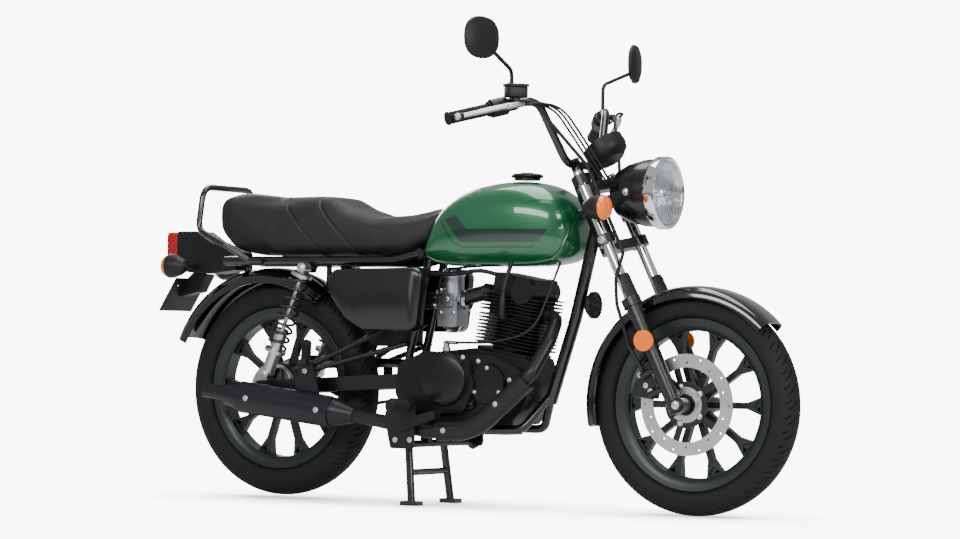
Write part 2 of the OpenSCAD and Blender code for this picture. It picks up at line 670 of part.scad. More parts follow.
// Frame: head tube, backbone, single downtube, double cradle and seat rails
head_r = 26;
frame_r = 17;
cradle_r = 12;
rail_r = 13;
cross_r = 15;
cradle_y = 62;
post_foot_z = 560;
post_y = 42;
rail_y = 92;
cradle_z = 216;
backbone_z = 704;
backbone_x = pivot_x + 60;
backbone_knee_x = backbone_x + 136;
backbone_knee_z = backbone_z + 34;
cradle_front_x = front_axle_x - 500;
downtube_knee = [front_axle_x - 372, 0, 520];
downtube_foot = [front_axle_x - 446, 0, 292];
rail_end_x = pivot_x - 600;
plate_t = 8;
pivot_plate_r = 34;
pivot_bolt_r = 8;
shock_top_x = pivot_x - 302;
shock_top_z = 655;
shock_y = 128;
shock_half = 16;
shock_stud_r = 7;
stand_pivot_x = pivot_x + 25;
stand_pivot_z = 226;
stand_lug_r = 18;
stand_pin_r = 8;
stand_lug_y = 76;
tank_pad_x = pivot_x + 400;
tank_pad_half = 30;
tank_pad_r = 12;
head_low = lower_yoke_u + yoke_t + head_gap;
head_high = upper_yoke_u - head_gap;
function head_at(share) = at_steer(0, 0, head_low + share * (head_high - head_low));
downtube_share = 0.46;
backbone_start = head_at(0.66);
tank_pad_z = backbone_knee_z + (tank_pad_x - backbone_knee_x) * (backbone_start[2] - backbone_knee_z) / (backbone_start[0] - backbone_knee_x);

module frame() color([0.04, 0.04, 0.045]) difference() {
    union() {
        bar(head_at(0), head_at(1), head_r);
        sweep(rounded_path([backbone_start, [backbone_knee_x, 0, backbone_knee_z], [backbone_x, 0, backbone_z]], frame_r * 6), frame_r);
        sweep(rounded_path([head_at(downtube_share), downtube_knee, downtube_foot], frame_r * 8), frame_r);
        cross_bar(backbone_x, backbone_z - frame_r / 2, -rail_y - rail_r / 2, rail_y + rail_r / 2, cross_r);
        cross_bar(tank_pad_x, tank_pad_z, -tank_pad_half + seat_gap, tank_pad_half - seat_gap, tank_pad_r);
        for (s = [-1, 1]) {
            sweep(rounded_path([downtube_foot + [0, s * overrun * 2, frame_r], [cradle_front_x, s * cradle_y, cradle_z],
                [stand_pivot_x + stand_lug_r, s * cradle_y, cradle_z], [pivot_x, s * post_y, pivot_z - pivot_plate_r],
                [pivot_x - overrun, s * post_y, pivot_z + pivot_plate_r * 2], [backbone_x, s * post_y, backbone_z - frame_r / 2]], cradle_r * 3, 3), cradle_r);
            sweep(rounded_path([[backbone_x, s * rail_y, backbone_z - frame_r / 2], [backbone_x - frame_r * 5, s * rail_y, rail_z], [rail_end_x, s * rail_y, rail_z]], rail_r * 6), rail_r);
            cross_bar(shock_top_x, shock_top_z, s > 0 ? rail_y - rail_r : -shock_y - shock_half - overrun, s > 0 ? shock_y + shock_half + overrun : -rail_y + rail_r, shock_stud_r);
            side_plate([[shock_top_x - rail_r, shock_top_z - rail_r], [shock_top_x + rail_r, shock_top_z - rail_r], [shock_top_x + rail_r * 2, rail_z], [shock_top_x - rail_r * 2, rail_z]],
                s * rail_y - plate_t / 2, s * rail_y + plate_t / 2);
            side_plate(rounded_outline([[pivot_x - pivot_plate_r, pivot_z - pivot_plate_r], [pivot_x + pivot_plate_r, pivot_z - pivot_plate_r],
                [pivot_x + pivot_plate_r, pivot_z + pivot_plate_r], [pivot_x - pivot_plate_r, pivot_z + pivot_plate_r]], pivot_plate_r / 2),
                s * post_y - plate_t / 2, s * post_y + plate_t / 2);
            cross_bar(stand_pivot_x, stand_pivot_z, s > 0 ? cradle_y - plate_t / 2 : -stand_lug_y, s > 0 ? stand_lug_y : -cradle_y + plate_t / 2, stand_lug_r);
        }
        cross_bar(rail_end_x + rail_r, rail_z, -rail_y, rail_y, rail_r - overrun);
        cross_bar(shock_top_x, rail_z, -rail_y, rail_y, rail_r - overrun);
    }
    bar(head_at(-0.1), head_at(1.1), stem_r + run_gap);
    cross_bar(pivot_x, pivot_z, -rail_y, rail_y, pivot_bolt_r + seat_gap);
    cross_bar(stand_pivot_x, stand_pivot_z, -rail_y, rail_y, stand_pin_r + run_gap);
}

// Engine: crankcase with covers on both sides, leaning finned barrel and head
crank_x = pivot_x + 296;
crank_z = 340;
crank = [crank_x, 0, crank_z];
deck_h = 85;
deck_half = 80;
case_floor_z = cradle_z + cradle_r + seat_gap * 2;
case_rear_x = pivot_x + 45;
function in_bank(fore, up) = [crank_x + fore * cos(bank_angle) + up * sin(bank_angle), crank_z - fore * sin(bank_angle) + up * cos(bank_angle)];
case_outline = concat([[case_rear_x, case_floor_z + 40], [case_rear_x + 30, case_floor_z], [crank_x + 50, case_floor_z], [crank_x + 92, crank_z - 65], [crank_x + 116, crank_z],
    in_bank(deck_half, deck_h), in_bank(-deck_half, deck_h)], [[case_rear_x + 50, crank_z + 84], [case_rear_x, crank_z + 56]]);
sprocket_bay_y = 50;
sprocket_bay_x = pivot_x + 130;
sump_half = 44;
sump_z = 200;

module on_bank() {
    translate(crank) rotate([0, bank_angle, 0]) children();
}

module engine_cases() color([0.06, 0.06, 0.065]) difference() {
    union() {
        side_plate(case_outline, -case_w / 2, case_w / 2);
        side_plate([[crank_x - 150, crank_z], [crank_x - 130, sump_z], [crank_x + 20, sump_z], [crank_x + 60, crank_z]], -sump_half, sump_half);
    }
    translate([case_rear_x - overrun, sprocket_bay_y, pivot_z - pivot_plate_r * 1.7]) cube([sprocket_bay_x - case_rear_x, case_w, pivot_plate_r * 3.2]);
}

clutch_x = pivot_x + 168;
clutch_z = 352;
clutch_r = 76;
alternator_r = 70;
alternator_out = 40;
cover_t = 22;
cover_inset = 7;
crank_cap_r = 56;
sprocket_cover_x = pivot_x + 92;

cover_step = 28;
outer_cover_t = 20;

module engine_covers() color([0.07, 0.07, 0.075]) {
    y1 = -case_w / 2 - cover_step;
    side_plate(rounded_outline([[case_rear_x + 3, clutch_z - 50], [case_rear_x + 34, case_floor_z + cover_inset], [crank_x + 40, case_floor_z + cover_inset], [crank_x + 88, crank_z - 50],
        [crank_x + 96, crank_z + 40], [crank_x + 10, crank_z + 78], [case_rear_x + 30, crank_z + 84], [case_rear_x + 3, crank_z + 50]], 18), y1, -case_w / 2);
    side_plate(rounded_outline([[case_rear_x - 38, clutch_z - 46], [case_rear_x + 10, clutch_z - 96], [clutch_x + 60, clutch_z - 92], [clutch_x + 92, clutch_z - 20], [clutch_x + 70, clutch_z + 64],
        [clutch_x - 60, clutch_z + 76], [case_rear_x - 30, clutch_z + 40]], 26), y1 - outer_cover_t, y1 + overrun);
    turned([clutch_x, y1 - outer_cover_t + overrun, clutch_z], [clutch_x, -case_w * 2, clutch_z], [[0, 0], [clutch_r, 0], [clutch_r - cover_inset, cover_t * 0.6], [0, cover_t * 0.7]]);
    turned([crank_x, y1 + overrun, crank_z], [crank_x, -case_w * 2, crank_z], [[0, 0], [crank_cap_r, 0], [crank_cap_r - cover_inset / 2, cover_t * 0.6], [0, cover_t * 0.7]]);
    turned([crank_x, case_w / 2, crank_z], [crank_x, case_w, crank_z], [[0, 0], [alternator_r, 0], [alternator_r, alternator_out * 0.7], [alternator_r - cover_inset, alternator_out * 0.95], [0, alternator_out]]);
    side_plate(rounded_outline([[case_rear_x + cover_inset, clutch_z - 66], [crank_x - alternator_r / 2, clutch_z - 66], [crank_x - alternator_r / 2, clutch_z + 56], [case_rear_x + cover_inset, clutch_z + 46]], 24),
        case_w / 2, case_w / 2 + cover_t);
}

barrel_top = 186;
head_top = 300;
fin_half_x = 96;
fin_half_y = 78;
fin_round = 22;
barrel_r = 60;
head_fins = 6;
head_fin_base = barrel_top + 10;
head_core_x = 66;
head_core_y = 60;
port_y = 26;
port_r = 22;
port_up = 211;
intake_up = 236;
cam_cap_r = 36;
cam_cap_fore = 34;
fin_outline = rounded_outline([[-fin_half_x, -fin_half_y], [fin_half_x, -fin_half_y], [fin_half_x, fin_half_y], [-fin_half_x, fin_half_y]], fin_round);

module cylinder_barrel_fins(base, count, size) {
    for (k = [0 : count - 1]) translate([0, 0, base + k * fin_pitch]) linear_extrude(height = fin_t) polygon(fin_outline * size);
}

module cylinder_barrel() {
    translate([0, 0, deck_h + seat_gap]) cylinder(h = barrel_top - deck_h - seat_gap * 2, r = barrel_r);
    translate([0, 0, deck_h + seat_gap]) linear_extrude(height = fin_t * 3) polygon(fin_outline * 0.9);
    cylinder_barrel_fins(barrel_top - (barrel_fins - 1) * fin_pitch - fin_t * 2, barrel_fins, 1);
}

module cylinder_piece() color([0.06, 0.06, 0.065]) on_bank() cylinder_barrel();

module cylinder_head() color([0.06, 0.06, 0.065]) on_bank() {
    translate([-head_core_x, -head_core_y, barrel_top]) cube([head_core_x * 2, head_core_y * 2, head_top - barrel_top]);
    cylinder_barrel_fins(head_fin_base, head_fins, 1);
    translate([cam_cap_fore, fin_half_y, head_top - cam_cap_r]) rotate([90, 0, 0]) cylinder(h = fin_half_y * 2, r = cam_cap_r);
    translate([0, -port_y, port_up]) rotate([0, 90, 0]) cylinder(h = fin_half_x + fin_t, r = port_r);
    translate([-fin_half_x - fin_t, 0, intake_up]) rotate([0, 90, 0]) cylinder(h = fin_half_x, r = port_r);
}

// Carburettor on the intake stub, with a rubber boot to the airbox
carb_r = 24;
carb_body = 62;
carb_bowl_h = 46;
carb_z = 566;
carb_x = pivot_x + 112;
airbox_half = 58;
airbox_front_x = pivot_x - 18;
airbox_outline = [[airbox_front_x, 438], [airbox_front_x, 656], [airbox_front_x - 186, 656], [airbox_front_x - 186, 600], [airbox_front_x - 104, 438]];
intake_stub_l = 24;
intake_face = in_bank(-fin_half_x - fin_t - seat_gap, intake_up);
intake_back = in_bank(-fin_half_x - fin_t - intake_stub_l, intake_up);
intake_start = [intake_face[0], 0, intake_face[1]];
intake_end = [intake_back[0], 0, intake_back[1]];

module carburettor() color([0.45, 0.46, 0.48]) {
    bar(intake_start, intake_end, carb_r);
    bar(intake_start + (intake_end - intake_start) * 0.7, [carb_x, 0, carb_z], carb_r * 0.9);
    bar([carb_x + carb_body / 2, 0, carb_z], [airbox_front_x + seat_gap, 0, carb_z], carb_r);
    translate([carb_x - carb_body / 2, -carb_body / 2, carb_z - carb_bowl_h - carb_r]) cube([carb_body, carb_body, carb_bowl_h + carb_r]);
    translate([carb_x, 0, carb_z]) cylinder(h = carb_bowl_h * 1.6, r = carb_body / 2);
}

module airbox() color([0.05, 0.05, 0.05]) side_plate(airbox_outline, -airbox_half, airbox_half);

// Exhaust: header, silencer and tail pipe on the right side
muffler_y = -156;
muffler_front = [pivot_x - 106, muffler_y, 245];
muffler_rear = [pivot_x - 462, muffler_y, 287];
port_face = in_bank(fin_half_x + fin_t + seat_gap, port_up);
header_turn = [pivot_x + 464, -76, 458];
header_down = [pivot_x + 440, -128, 372];
header_low = [pivot_x + 276, -150, 214];
header_rear = [pivot_x + 130, -154, 208];
port_lead_l = 32;
port_lead = in_bank(fin_half_x + fin_t + port_lead_l, port_up);
header_points = [[port_face[0], -port_y, port_face[1]], [port_lead[0], -port_y, port_lead[1]], header_turn, header_down,
    header_low, header_rear, muffler_front];
muffler_cone = 64;
tail_r = 21;
tail_l = 78;
hanger_x = pivot_x - 274;
hanger_z = 365;
hanger_y = 150;

module exhaust() color([0.05, 0.05, 0.055]) {
    sweep(concat(rounded_path(header_points, header_r * 1.6, 3), [muffler_front + (muffler_rear - muffler_front) * 0.06]), header_r);
    turned(muffler_front, muffler_rear, [[0, 0], [header_r + overrun, 0], [muffler_r, muffler_cone], [muffler_r, muffler_l], [muffler_r * 0.8, muffler_l + muffler_cone * 0.6], [tail_r, muffler_l + muffler_cone * 0.7],
        [tail_r, muffler_l + muffler_cone * 0.7 + tail_l], [tail_r - overrun, muffler_l + muffler_cone * 0.7 + tail_l], [tail_r - overrun, muffler_l + muffler_cone], [0, muffler_l + muffler_cone]]);
    side_plate([[hanger_x - 20, hanger_z + 16], [hanger_x + 26, hanger_z + 16], [hanger_x + 60, 265], [hanger_x - 40, 265]], -hanger_y - carrier_t - plate_t / 2, -hanger_y - carrier_t);
}

shield_t = 3;
shield_gap = 5;
shield_half_angle = 75;

module heat_shields() color([0.06, 0.06, 0.065]) {
    d = unit(muffler_rear - muffler_front);
    translate(muffler_front + d * (muffler_cone + shield_gap)) rotate([0, acos(d[2]), atan2(d[1], d[0])]) rotate([0, 0, 90 - shield_half_angle])
        rotate_extrude(angle = shield_half_angle * 2) translate([muffler_r + seat_gap, 0]) square([shield_gap, muffler_l * 0.8]);
}

// Fuel tank over the backbone, with a twist-off cap
tank_rear_x = pivot_x + 54;
tank_base_z = 661;
tank_ring_shares = [[0, 0.5, 0.13, 0.15], [0.035, 0.7, 0.09, 0.24], [0.08, 0.8, 0.03, 0.47], [0.13, 0.86, 0.01, 0.7], [0.22, 0.92, 0.004, 0.85], [0.4, 0.98, 0, 0.96],
    [0.6, 1, 0, 1], [0.76, 0.97, 0.004, 0.97], [0.88, 0.86, 0.02, 0.88], [0.95, 0.66, 0.07, 0.75], [0.985, 0.45, 0.15, 0.63], [1, 0.28, 0.22, 0.54]];
tank_square = 2.7;
tank_sides = 28;

function barrel_ring(x, half, low, high, power, sides) = [for (k = [0 : sides - 1]) let (a = 360 * k / sides)
    [x, half * squared(cos(a), power), (low + high) / 2 + (high - low) / 2 * squared(sin(a), power)]];

module fuel_tank() color([0.05, 0.36, 0.2]) difference() {
    loft([for (k = tank_ring_shares)
        barrel_ring(tank_rear_x + tank_l * k[0], tank_w / 2 * k[1], tank_base_z + tank_h * k[2], tank_base_z + tank_h * k[3], tank_square, tank_sides)]);
    side_plate([[tank_rear_x - overrun, 0], [tank_rear_x + tank_l + overrun, 0], [tank_rear_x + tank_l + overrun, backbone_start[2] + frame_r],
        [backbone_knee_x, backbone_knee_z + frame_r * 1.5], [tank_rear_x - overrun, backbone_z + frame_r * 1.5]], -tank_pad_half, tank_pad_half);
    cross_bar(backbone_x, backbone_z - frame_r / 2, -tank_w, tank_w, cross_r + seat_gap);
    for (s = [-1, 1]) bar([backbone_x - overrun * 4, s * post_y, post_foot_z], [backbone_x + overrun * 2, s * post_y, backbone_z + frame_r], cradle_r + overrun);
}

cap_r = 36;
cap_h = 18;
cap_x = tank_rear_x + tank_l * 0.62;
cap_sink = 1.2;

module fuel_cap() color([0.03, 0.03, 0.035]) turned([cap_x, 0, tank_base_z + tank_h + seat_gap], [cap_x, 0, tank_base_z + tank_h * 2], [[0, 0], [cap_r, 0], [cap_r, cap_h * 0.6], [cap_r * 0.86, cap_h], [0, cap_h]]);

// Seat: one long stepped cushion on a flat base
seat_base_z = rail_z + rail_r + seat_gap;
seat_front_x = pivot_x + 119;
seat_base_t = 10;
seat_ring_shares = [[1, 0.55, 0.62, 0.96], [0.985, 0.76, 0.34, 1.02], [0.93, 0.92, 0.12, 1.04], [0.74, 0.98, 0, 0.95], [0.55, 1, 0, 0.96], [0.47, 0.98, 0, 0.93],
    [0.39, 0.95, 0, 0.76], [0.28, 0.92, 0, 0.61], [0.16, 0.82, 0.05, 0.64], [0.1, 0.74, 0.17, 0.69], [0.065, 0.66, 0.235, 0.74], [0.03, 0.56, 0.585, 0.785], [0.005, 0.45, 0.8, 0.812]];
seat_square = 3.4;
seat_sides = 24;

module seat() color([0.05, 0.05, 0.055]) {
    loft([for (k = seat_ring_shares) let (x = seat_front_x - seat_l * k[0])
        barrel_ring(x, seat_w / 2 * k[1], seat_base_z + seat_h * k[2], seat_base_z + seat_h * k[3], seat_square, seat_sides)]);
    translate([seat_front_x - seat_l * 0.78, -rail_y - rail_r / 2, seat_base_z]) cube([seat_l * 0.565, rail_y * 2 + rail_r, seat_base_t]);
}

// Side covers under the seat, on posts from the airbox
cover_outline = [[pivot_x + 100, 658], [pivot_x - 188, 652], [pivot_x - 222, 630], [pivot_x - 205, 575], [pivot_x - 150, 510], [pivot_x - 95, 480], [pivot_x + 80, 480]];
cover_middle = [pivot_x - 55, 570];
cover_in_y = 110;
cover_skin_shares = [[0, 1], [0.66, 1], [0.9, 0.965], [1, 0.9]];
cover_depth = 42;
cover_round = 24;
post_r = 8;

module side_covers() color([0.04, 0.04, 0.045]) for (s = [-1, 1]) {
    outline = rounded_outline(cover_outline, cover_round, 4);
    n = len(outline);
    loft([for (k = cover_skin_shares) [for (i = [0 : n - 1]) let (q = outline[s < 0 ? i : n - 1 - i], m = cover_middle + (q - cover_middle) * k[1]) [m[0], s * (cover_in_y + cover_depth * k[0]), m[1]]]]);
    for (x = [cover_middle[0] - cover_in_y * 0.4, cover_middle[0] - cover_in_y])
        cross_bar(x, cover_middle[1] + cover_round, s > 0 ? airbox_half + seat_gap : -cover_in_y - overrun, s > 0 ? cover_in_y + overrun : -airbox_half - seat_gap, post_r);
}

// Rear fender with its tail unit: lamp housing, indicators, reflectors and number plate bracket
rear_fender_gap = 26;
rear_fender_half = 72;
rear_fender_drop = 46;
rear_fender_from = 52;
rear_fender_to = 157;
rear_fender_centre = rear_axle + [-40, 0, 10];
fender_hang_r = 8;

module rear_fender() color([0.04, 0.04, 0.045]) {
    r = rear_tyre_r + rear_fender_gap;
    translate(rear_fender_centre) fender_skin(r, rear_fender_half, rear_fender_drop, rear_fender_from, rear_fender_to);
    for (x = [shock_top_x, rail_end_x + rail_r]) let (h = sqrt(r * r - pow(x - rear_fender_centre[0], 2)))
        bar([x, 0, rear_fender_centre[2] + h], [x, 0, rail_z - rail_r + overrun - seat_gap], fender_hang_r);
}

tail_x = -overall_l / 2;
lamp_depth = 36;
tail_half = 46;
tail_low_z = 686;
tail_high_z = 764;
tail_front_x = rail_end_x + overrun - seat_gap;
tail_outline = [[tail_x + lamp_depth, tail_low_z], [tail_x + lamp_depth, tail_high_z], [tail_x + lamp_depth + 66, tail_high_z], [tail_front_x - 92, 734], [tail_front_x, 702], [tail_front_x, 652], [tail_front_x - 90, 640], [tail_x + lamp_depth + 36, 644]];
rear_blinker_x = tail_x + 76;
rear_blinker_y = 132;
rear_blinker_z = 660;

module tail_lamp() color([0.04, 0.04, 0.045]) side_plate(tail_outline, -tail_half, tail_half);

side_reflector_x = tail_x + 116;
side_reflector_z = 577;
side_reflector_r = 22;

module red_lenses() color([0.75, 0.05, 0.04]) {
    translate([tail_x, 0, (tail_low_z + tail_high_z) / 2]) rotate([0, 90, 0]) linear_extrude(height = lamp_depth - seat_gap)
        polygon(rounded_outline([[-37, -tail_half], [37, -tail_half], [37, tail_half], [-37, tail_half]], 14));
}

module rear_indicators() color([0.04, 0.04, 0.045]) for (s = [-1, 1]) {
    face = [rear_blinker_x, s * rear_blinker_y, rear_blinker_z];
    blinker_body(face, [-1, 0, 0]);
    bar([rear_blinker_x + blinker_l / 2, s * (tail_half + seat_gap), rear_blinker_z], face + [blinker_l / 2, 0, 0], blinker_stem_r);
}

module rear_amber_lenses() color([0.95, 0.45, 0.08]) for (s = [-1, 1]) blinker_lens([rear_blinker_x, s * rear_blinker_y, rear_blinker_z], [-1, 0, 0]);

plate_top = [tail_x + 56, 0, 628];
plate_lean = 32;
plate_half_w = 78;
plate_h = 112;
plate_sheet_t = 4;
plate_hole_y = 50;
plate_hole_drop = 26;
plate_hole_r = 3.5;
plate_arm_half = 22;
plate_drop_x = plate_h * 0.6 * sin(plate_lean);
plate_drop_z = plate_h * 0.6 * cos(plate_lean);
plate_foot = [plate_top[0] + plate_sheet_t / 2, plate_top[2]];

module plate_bracket() color([0.04, 0.04, 0.045]) {
    translate(plate_top) rotate([0, plate_lean, 0]) difference() {
        translate([0, -plate_half_w, -plate_h]) cube([plate_sheet_t, plate_half_w * 2, plate_h]);
        for (s = [-1, 1]) translate([-overrun, s * plate_hole_y, -plate_hole_drop]) rotate([0, 90, 0]) cylinder(h = plate_sheet_t + overrun * 2, r = plate_hole_r);
    }
    side_plate([[plate_top[0] - plate_drop_x, plate_top[2] - plate_drop_z], [plate_top[0] + 40, plate_top[2] - 40], [plate_top[0] + 70, 639.5], [plate_top[0] + 20, 643.5], plate_foot], -plate_arm_half, plate_arm_half);
}

// Grab rail around the back of the seat
grab_r = 9;
grab_y = 132;
grab_foot_y = rail_y + rail_r + grab_r + seat_gap;
grab_half = [[rail_end_x + 146, grab_foot_y, rail_z], [rail_end_x + 102, grab_foot_y, rail_z], [rail_end_x + 26, grab_y, 720], [rail_end_x - 68, grab_y, 764], [rail_end_x - 58, grab_y - 10, 888]];

module grab_rail() color([0.04, 0.04, 0.045]) sweep(rounded_path(concat([for (q = grab_half) at_side(q, -1)], [for (i = [len(grab_half) - 1 : -1 : 0]) grab_half[i]]), grab_r * 4), grab_r);

// Swingarm, rear axle and suspension units
arm_in_y = 78;
arm_t = 28;
arm_half_h = 20;
arm_round = 14;
arm_tail = 36;
brace_x = pivot_x - 72;
brace_r = 16;
shock_low_x = pivot_x - 422;
shock_low_z = 357;
arm_eye_x = shock_low_x;

module swingarm() color([0.05, 0.05, 0.055]) difference() {
    union() {
        for (s = [-1, 1]) {
            side_plate(rounded_outline([[pivot_x + arm_tail, pivot_z - arm_half_h], [pivot_x + arm_tail, pivot_z + arm_half_h], [rear_axle_x - arm_tail, rear_axle_z + arm_half_h], [rear_axle_x - arm_tail, rear_axle_z - arm_half_h]], arm_round),
                s > 0 ? arm_in_y : -arm_in_y - arm_t, s > 0 ? arm_in_y + arm_t : -arm_in_y);
            cross_bar(shock_low_x, shock_low_z, s > 0 ? arm_in_y + arm_t / 2 : -shock_y - shock_half - overrun, s > 0 ? shock_y + shock_half + overrun : -arm_in_y - arm_t / 2, shock_stud_r);
            side_plate([[shock_low_x - arm_half_h, rear_axle_z], [shock_low_x + arm_half_h, rear_axle_z], [shock_low_x + arm_round, shock_low_z + arm_round], [shock_low_x - arm_round, shock_low_z + arm_round]],
                s > 0 ? arm_in_y + overrun : -arm_in_y - arm_t + overrun, s > 0 ? arm_in_y + arm_t - overrun : -arm_in_y - overrun);
        }
        cross_bar(brace_x, pivot_z - overrun * 2, -arm_in_y - arm_t / 2, arm_in_y + arm_t / 2, brace_r);
        cross_bar(pivot_x, pivot_z, -arm_in_y - arm_t / 2, arm_in_y + arm_t / 2, pivot_bolt_r);
    }
    cross_bar(rear_axle_x, rear_axle_z, -arm_in_y - arm_t - overrun, arm_in_y + arm_t + overrun, axle_r + seat_gap);
}

brake_panel_r = 70;
brake_panel_gap = 5;
brake_panel_t = 20;
sprocket_y = 64;
sprocket_t = 6;

module rear_axle() color([0.5, 0.5, 0.52]) on_axle(rear_axle) {
    outer = arm_in_y + arm_t + seat_gap;
    translate([0, 0, -outer]) cylinder(h = outer * 2, r = axle_r);
    for (s = [0, 1]) mirror([0, 0, s]) translate([0, 0, outer]) cylinder(h = axle_nut_h, r = axle_nut_r, $fn = 6);
    translate([0, 0, rear_hub_half + brake_panel_gap]) cylinder(h = brake_panel_t, r = brake_panel_r);
    translate([0, 0, rear_hub_half + seat_gap]) cylinder(h = arm_in_y - rear_hub_half - seat_gap * 2, r = axle_collar_r);
    translate([0, 0, -arm_in_y + seat_gap]) cylinder(h = arm_in_y - sprocket_y - sprocket_t / 2 - seat_gap * 2, r = axle_collar_r);
}

shock_eye_r = 14;
shock_rod_r = 6;
shock_body_r = 18;
shock_cup_r = 31;
shock_cup_h = 10;
spring_r = 27;
spring_wire_r = 4;
spring_turns = 8;
spring_steps = 12;
shock_top = [shock_top_x, shock_y, shock_top_z];
shock_low = [shock_low_x, shock_y, shock_low_z];
function on_shock(share, s) = at_side(shock_low + share * (shock_top - shock_low), s);

module shock_absorbers() color([0.55, 0.56, 0.58]) for (s = [-1, 1]) difference() {
    union() {
        for (q = [shock_top, shock_low]) cross_bar(q[0], q[2], s * q[1] - shock_half, s * q[1] + shock_half, shock_eye_r);
        bar(on_shock(0, s), on_shock(0.42, s), shock_body_r);
        bar(on_shock(0.4, s), on_shock(1, s), shock_rod_r);
        bar(on_shock(0.2, s), on_shock(0.23, s), shock_cup_r);
        bar(on_shock(0.92, s), on_shock(0.95, s), shock_cup_r);
    }
    for (q = [shock_top, shock_low]) cross_bar(q[0], q[2], s * q[1] - shock_half - overrun, s * q[1] + shock_half + overrun, shock_stud_r + seat_gap);
}

module shock_springs() color([0.05, 0.05, 0.055]) for (s = [-1, 1]) {
    d = on_shock(1, s) - on_shock(0, s);
    l = norm(d);
    from = 0.23 * l + spring_wire_r + seat_gap;
    to = 0.92 * l - spring_wire_r - seat_gap;
    n = spring_turns * spring_steps;
    translate(on_shock(0, s)) rotate([0, acos(d[2] / l), atan2(d[1], d[0])]) sweep([for (k = [0 : n])
        [spring_r * cos(360 * k / spring_steps), spring_r * sin(360 * k / spring_steps), from + (to - from) * k / n]], spring_wire_r, 6);
}

// Chain drive on the left side
rear_chain_r = 78;
front_chain_r = 30;
chain_h = 11;
chain_w = 12;
front_sprocket_x = pivot_x + 84;
sprocket_r = rear_chain_r - chain_h / 2 - 1.2;
sprocket_teeth = 40;
chain_l = front_sprocket_x - rear_axle_x;
chain_slope = atan2(pivot_z - rear_axle_z, chain_l);
chain_wrap = asin((rear_chain_r - front_chain_r) / norm([chain_l, pivot_z - rear_axle_z]));
function belt(grow) = concat(
    [for (k = [0 : 24]) let (a = 90 - chain_wrap + (180 + chain_wrap * 2) * k / 24 + chain_slope) [rear_axle_x, rear_axle_z] + (rear_chain_r + grow) * [cos(a), sin(a)]],
    [for (k = [0 : 12]) let (a = 270 + chain_wrap + (180 - chain_wrap * 2) * k / 12 + chain_slope) [front_sprocket_x, pivot_z] + (front_chain_r + grow) * [cos(a), sin(a)]]);

module drive_chain() color([0.3, 0.28, 0.25]) {
    difference() {
        side_plate(belt(chain_h / 2), sprocket_y - chain_w / 2, sprocket_y + chain_w / 2);
        side_plate(belt(-chain_h / 2), sprocket_y - chain_w, sprocket_y + chain_w);
    }
    cross_bar(front_sprocket_x, pivot_z, sprocket_bay_y + seat_gap, sprocket_y, front_chain_r - chain_h / 4);
    cross_bar(front_sprocket_x, pivot_z, sprocket_y - sprocket_t / 2, sprocket_y + sprocket_t / 2, front_chain_r);
}

module rear_sprocket() color([0.35, 0.34, 0.32]) on_axle(rear_axle) difference() {
    union() {
        translate([0, 0, -sprocket_y - sprocket_t / 2]) cylinder(h = sprocket_t, r = sprocket_r);
        translate([0, 0, -sprocket_y]) cylinder(h = sprocket_y - rear_hub_half, r = front_hub_r);
    }
    translate([0, 0, -sprocket_y - sprocket_t]) cylinder(h = sprocket_y, r = axle_r + run_gap * 4);
}

guard_gap = 9;
guard_t = 3;
guard_in_y = 54;

module chain_guard() color([0.04, 0.04, 0.045]) {
    low = rear_axle_z + rear_chain_r + chain_h / 2 + guard_gap;
    front_low = pivot_z + front_chain_r + chain_h / 2 + guard_gap * 2;
    outline = [[rear_axle_x, low], [pivot_x - pivot_plate_r, front_low], [pivot_x - pivot_plate_r, front_low + guard_t], [rear_axle_x, low + guard_t], [rear_axle_x - rear_chain_r, low - guard_gap * 3], [rear_axle_x - rear_chain_r, low - guard_gap * 3 - guard_t]];
    side_plate(outline, guard_in_y, arm_in_y - seat_gap);
    side_plate([[rear_axle_x, rear_axle_z + rear_chain_r * 0.7], [rear_axle_x, low + guard_t], [pivot_x - pivot_plate_r, front_low + guard_t], [pivot_x - pivot_plate_r, front_low - guard_gap * 2]], arm_in_y - guard_t - seat_gap, arm_in_y - seat_gap);
    side_plate([[brace_x - 90, pivot_z], [brace_x - 60, pivot_z], [brace_x - 60, front_low], [brace_x - 90, front_low]], arm_in_y - guard_t - seat_gap, arm_in_y - seat_gap);
}

// Footrests, pillion hangers and foot controls
peg_x = pivot_x + 85;
peg_z = 276;
peg_r = 14;
peg_l = 96;
carrier_y = 184;
carrier_t = 6;
rest_bar_x = pivot_x + 70;
rest_bar_z = 171;
rest_bar_r = 10;
rest_block = 24;

// Pivot of the side stand, at the left end of the footrest bar
prop_r = 12;
prop_knuckle = 14;
prop_axis = unit([0.170074, 0.870864, 0.461163]);
prop_hub = [rest_bar_x, carrier_y + prop_knuckle * 2, rest_bar_z];
prop_seat = prop_hub - prop_axis * (prop_knuckle + seat_gap);

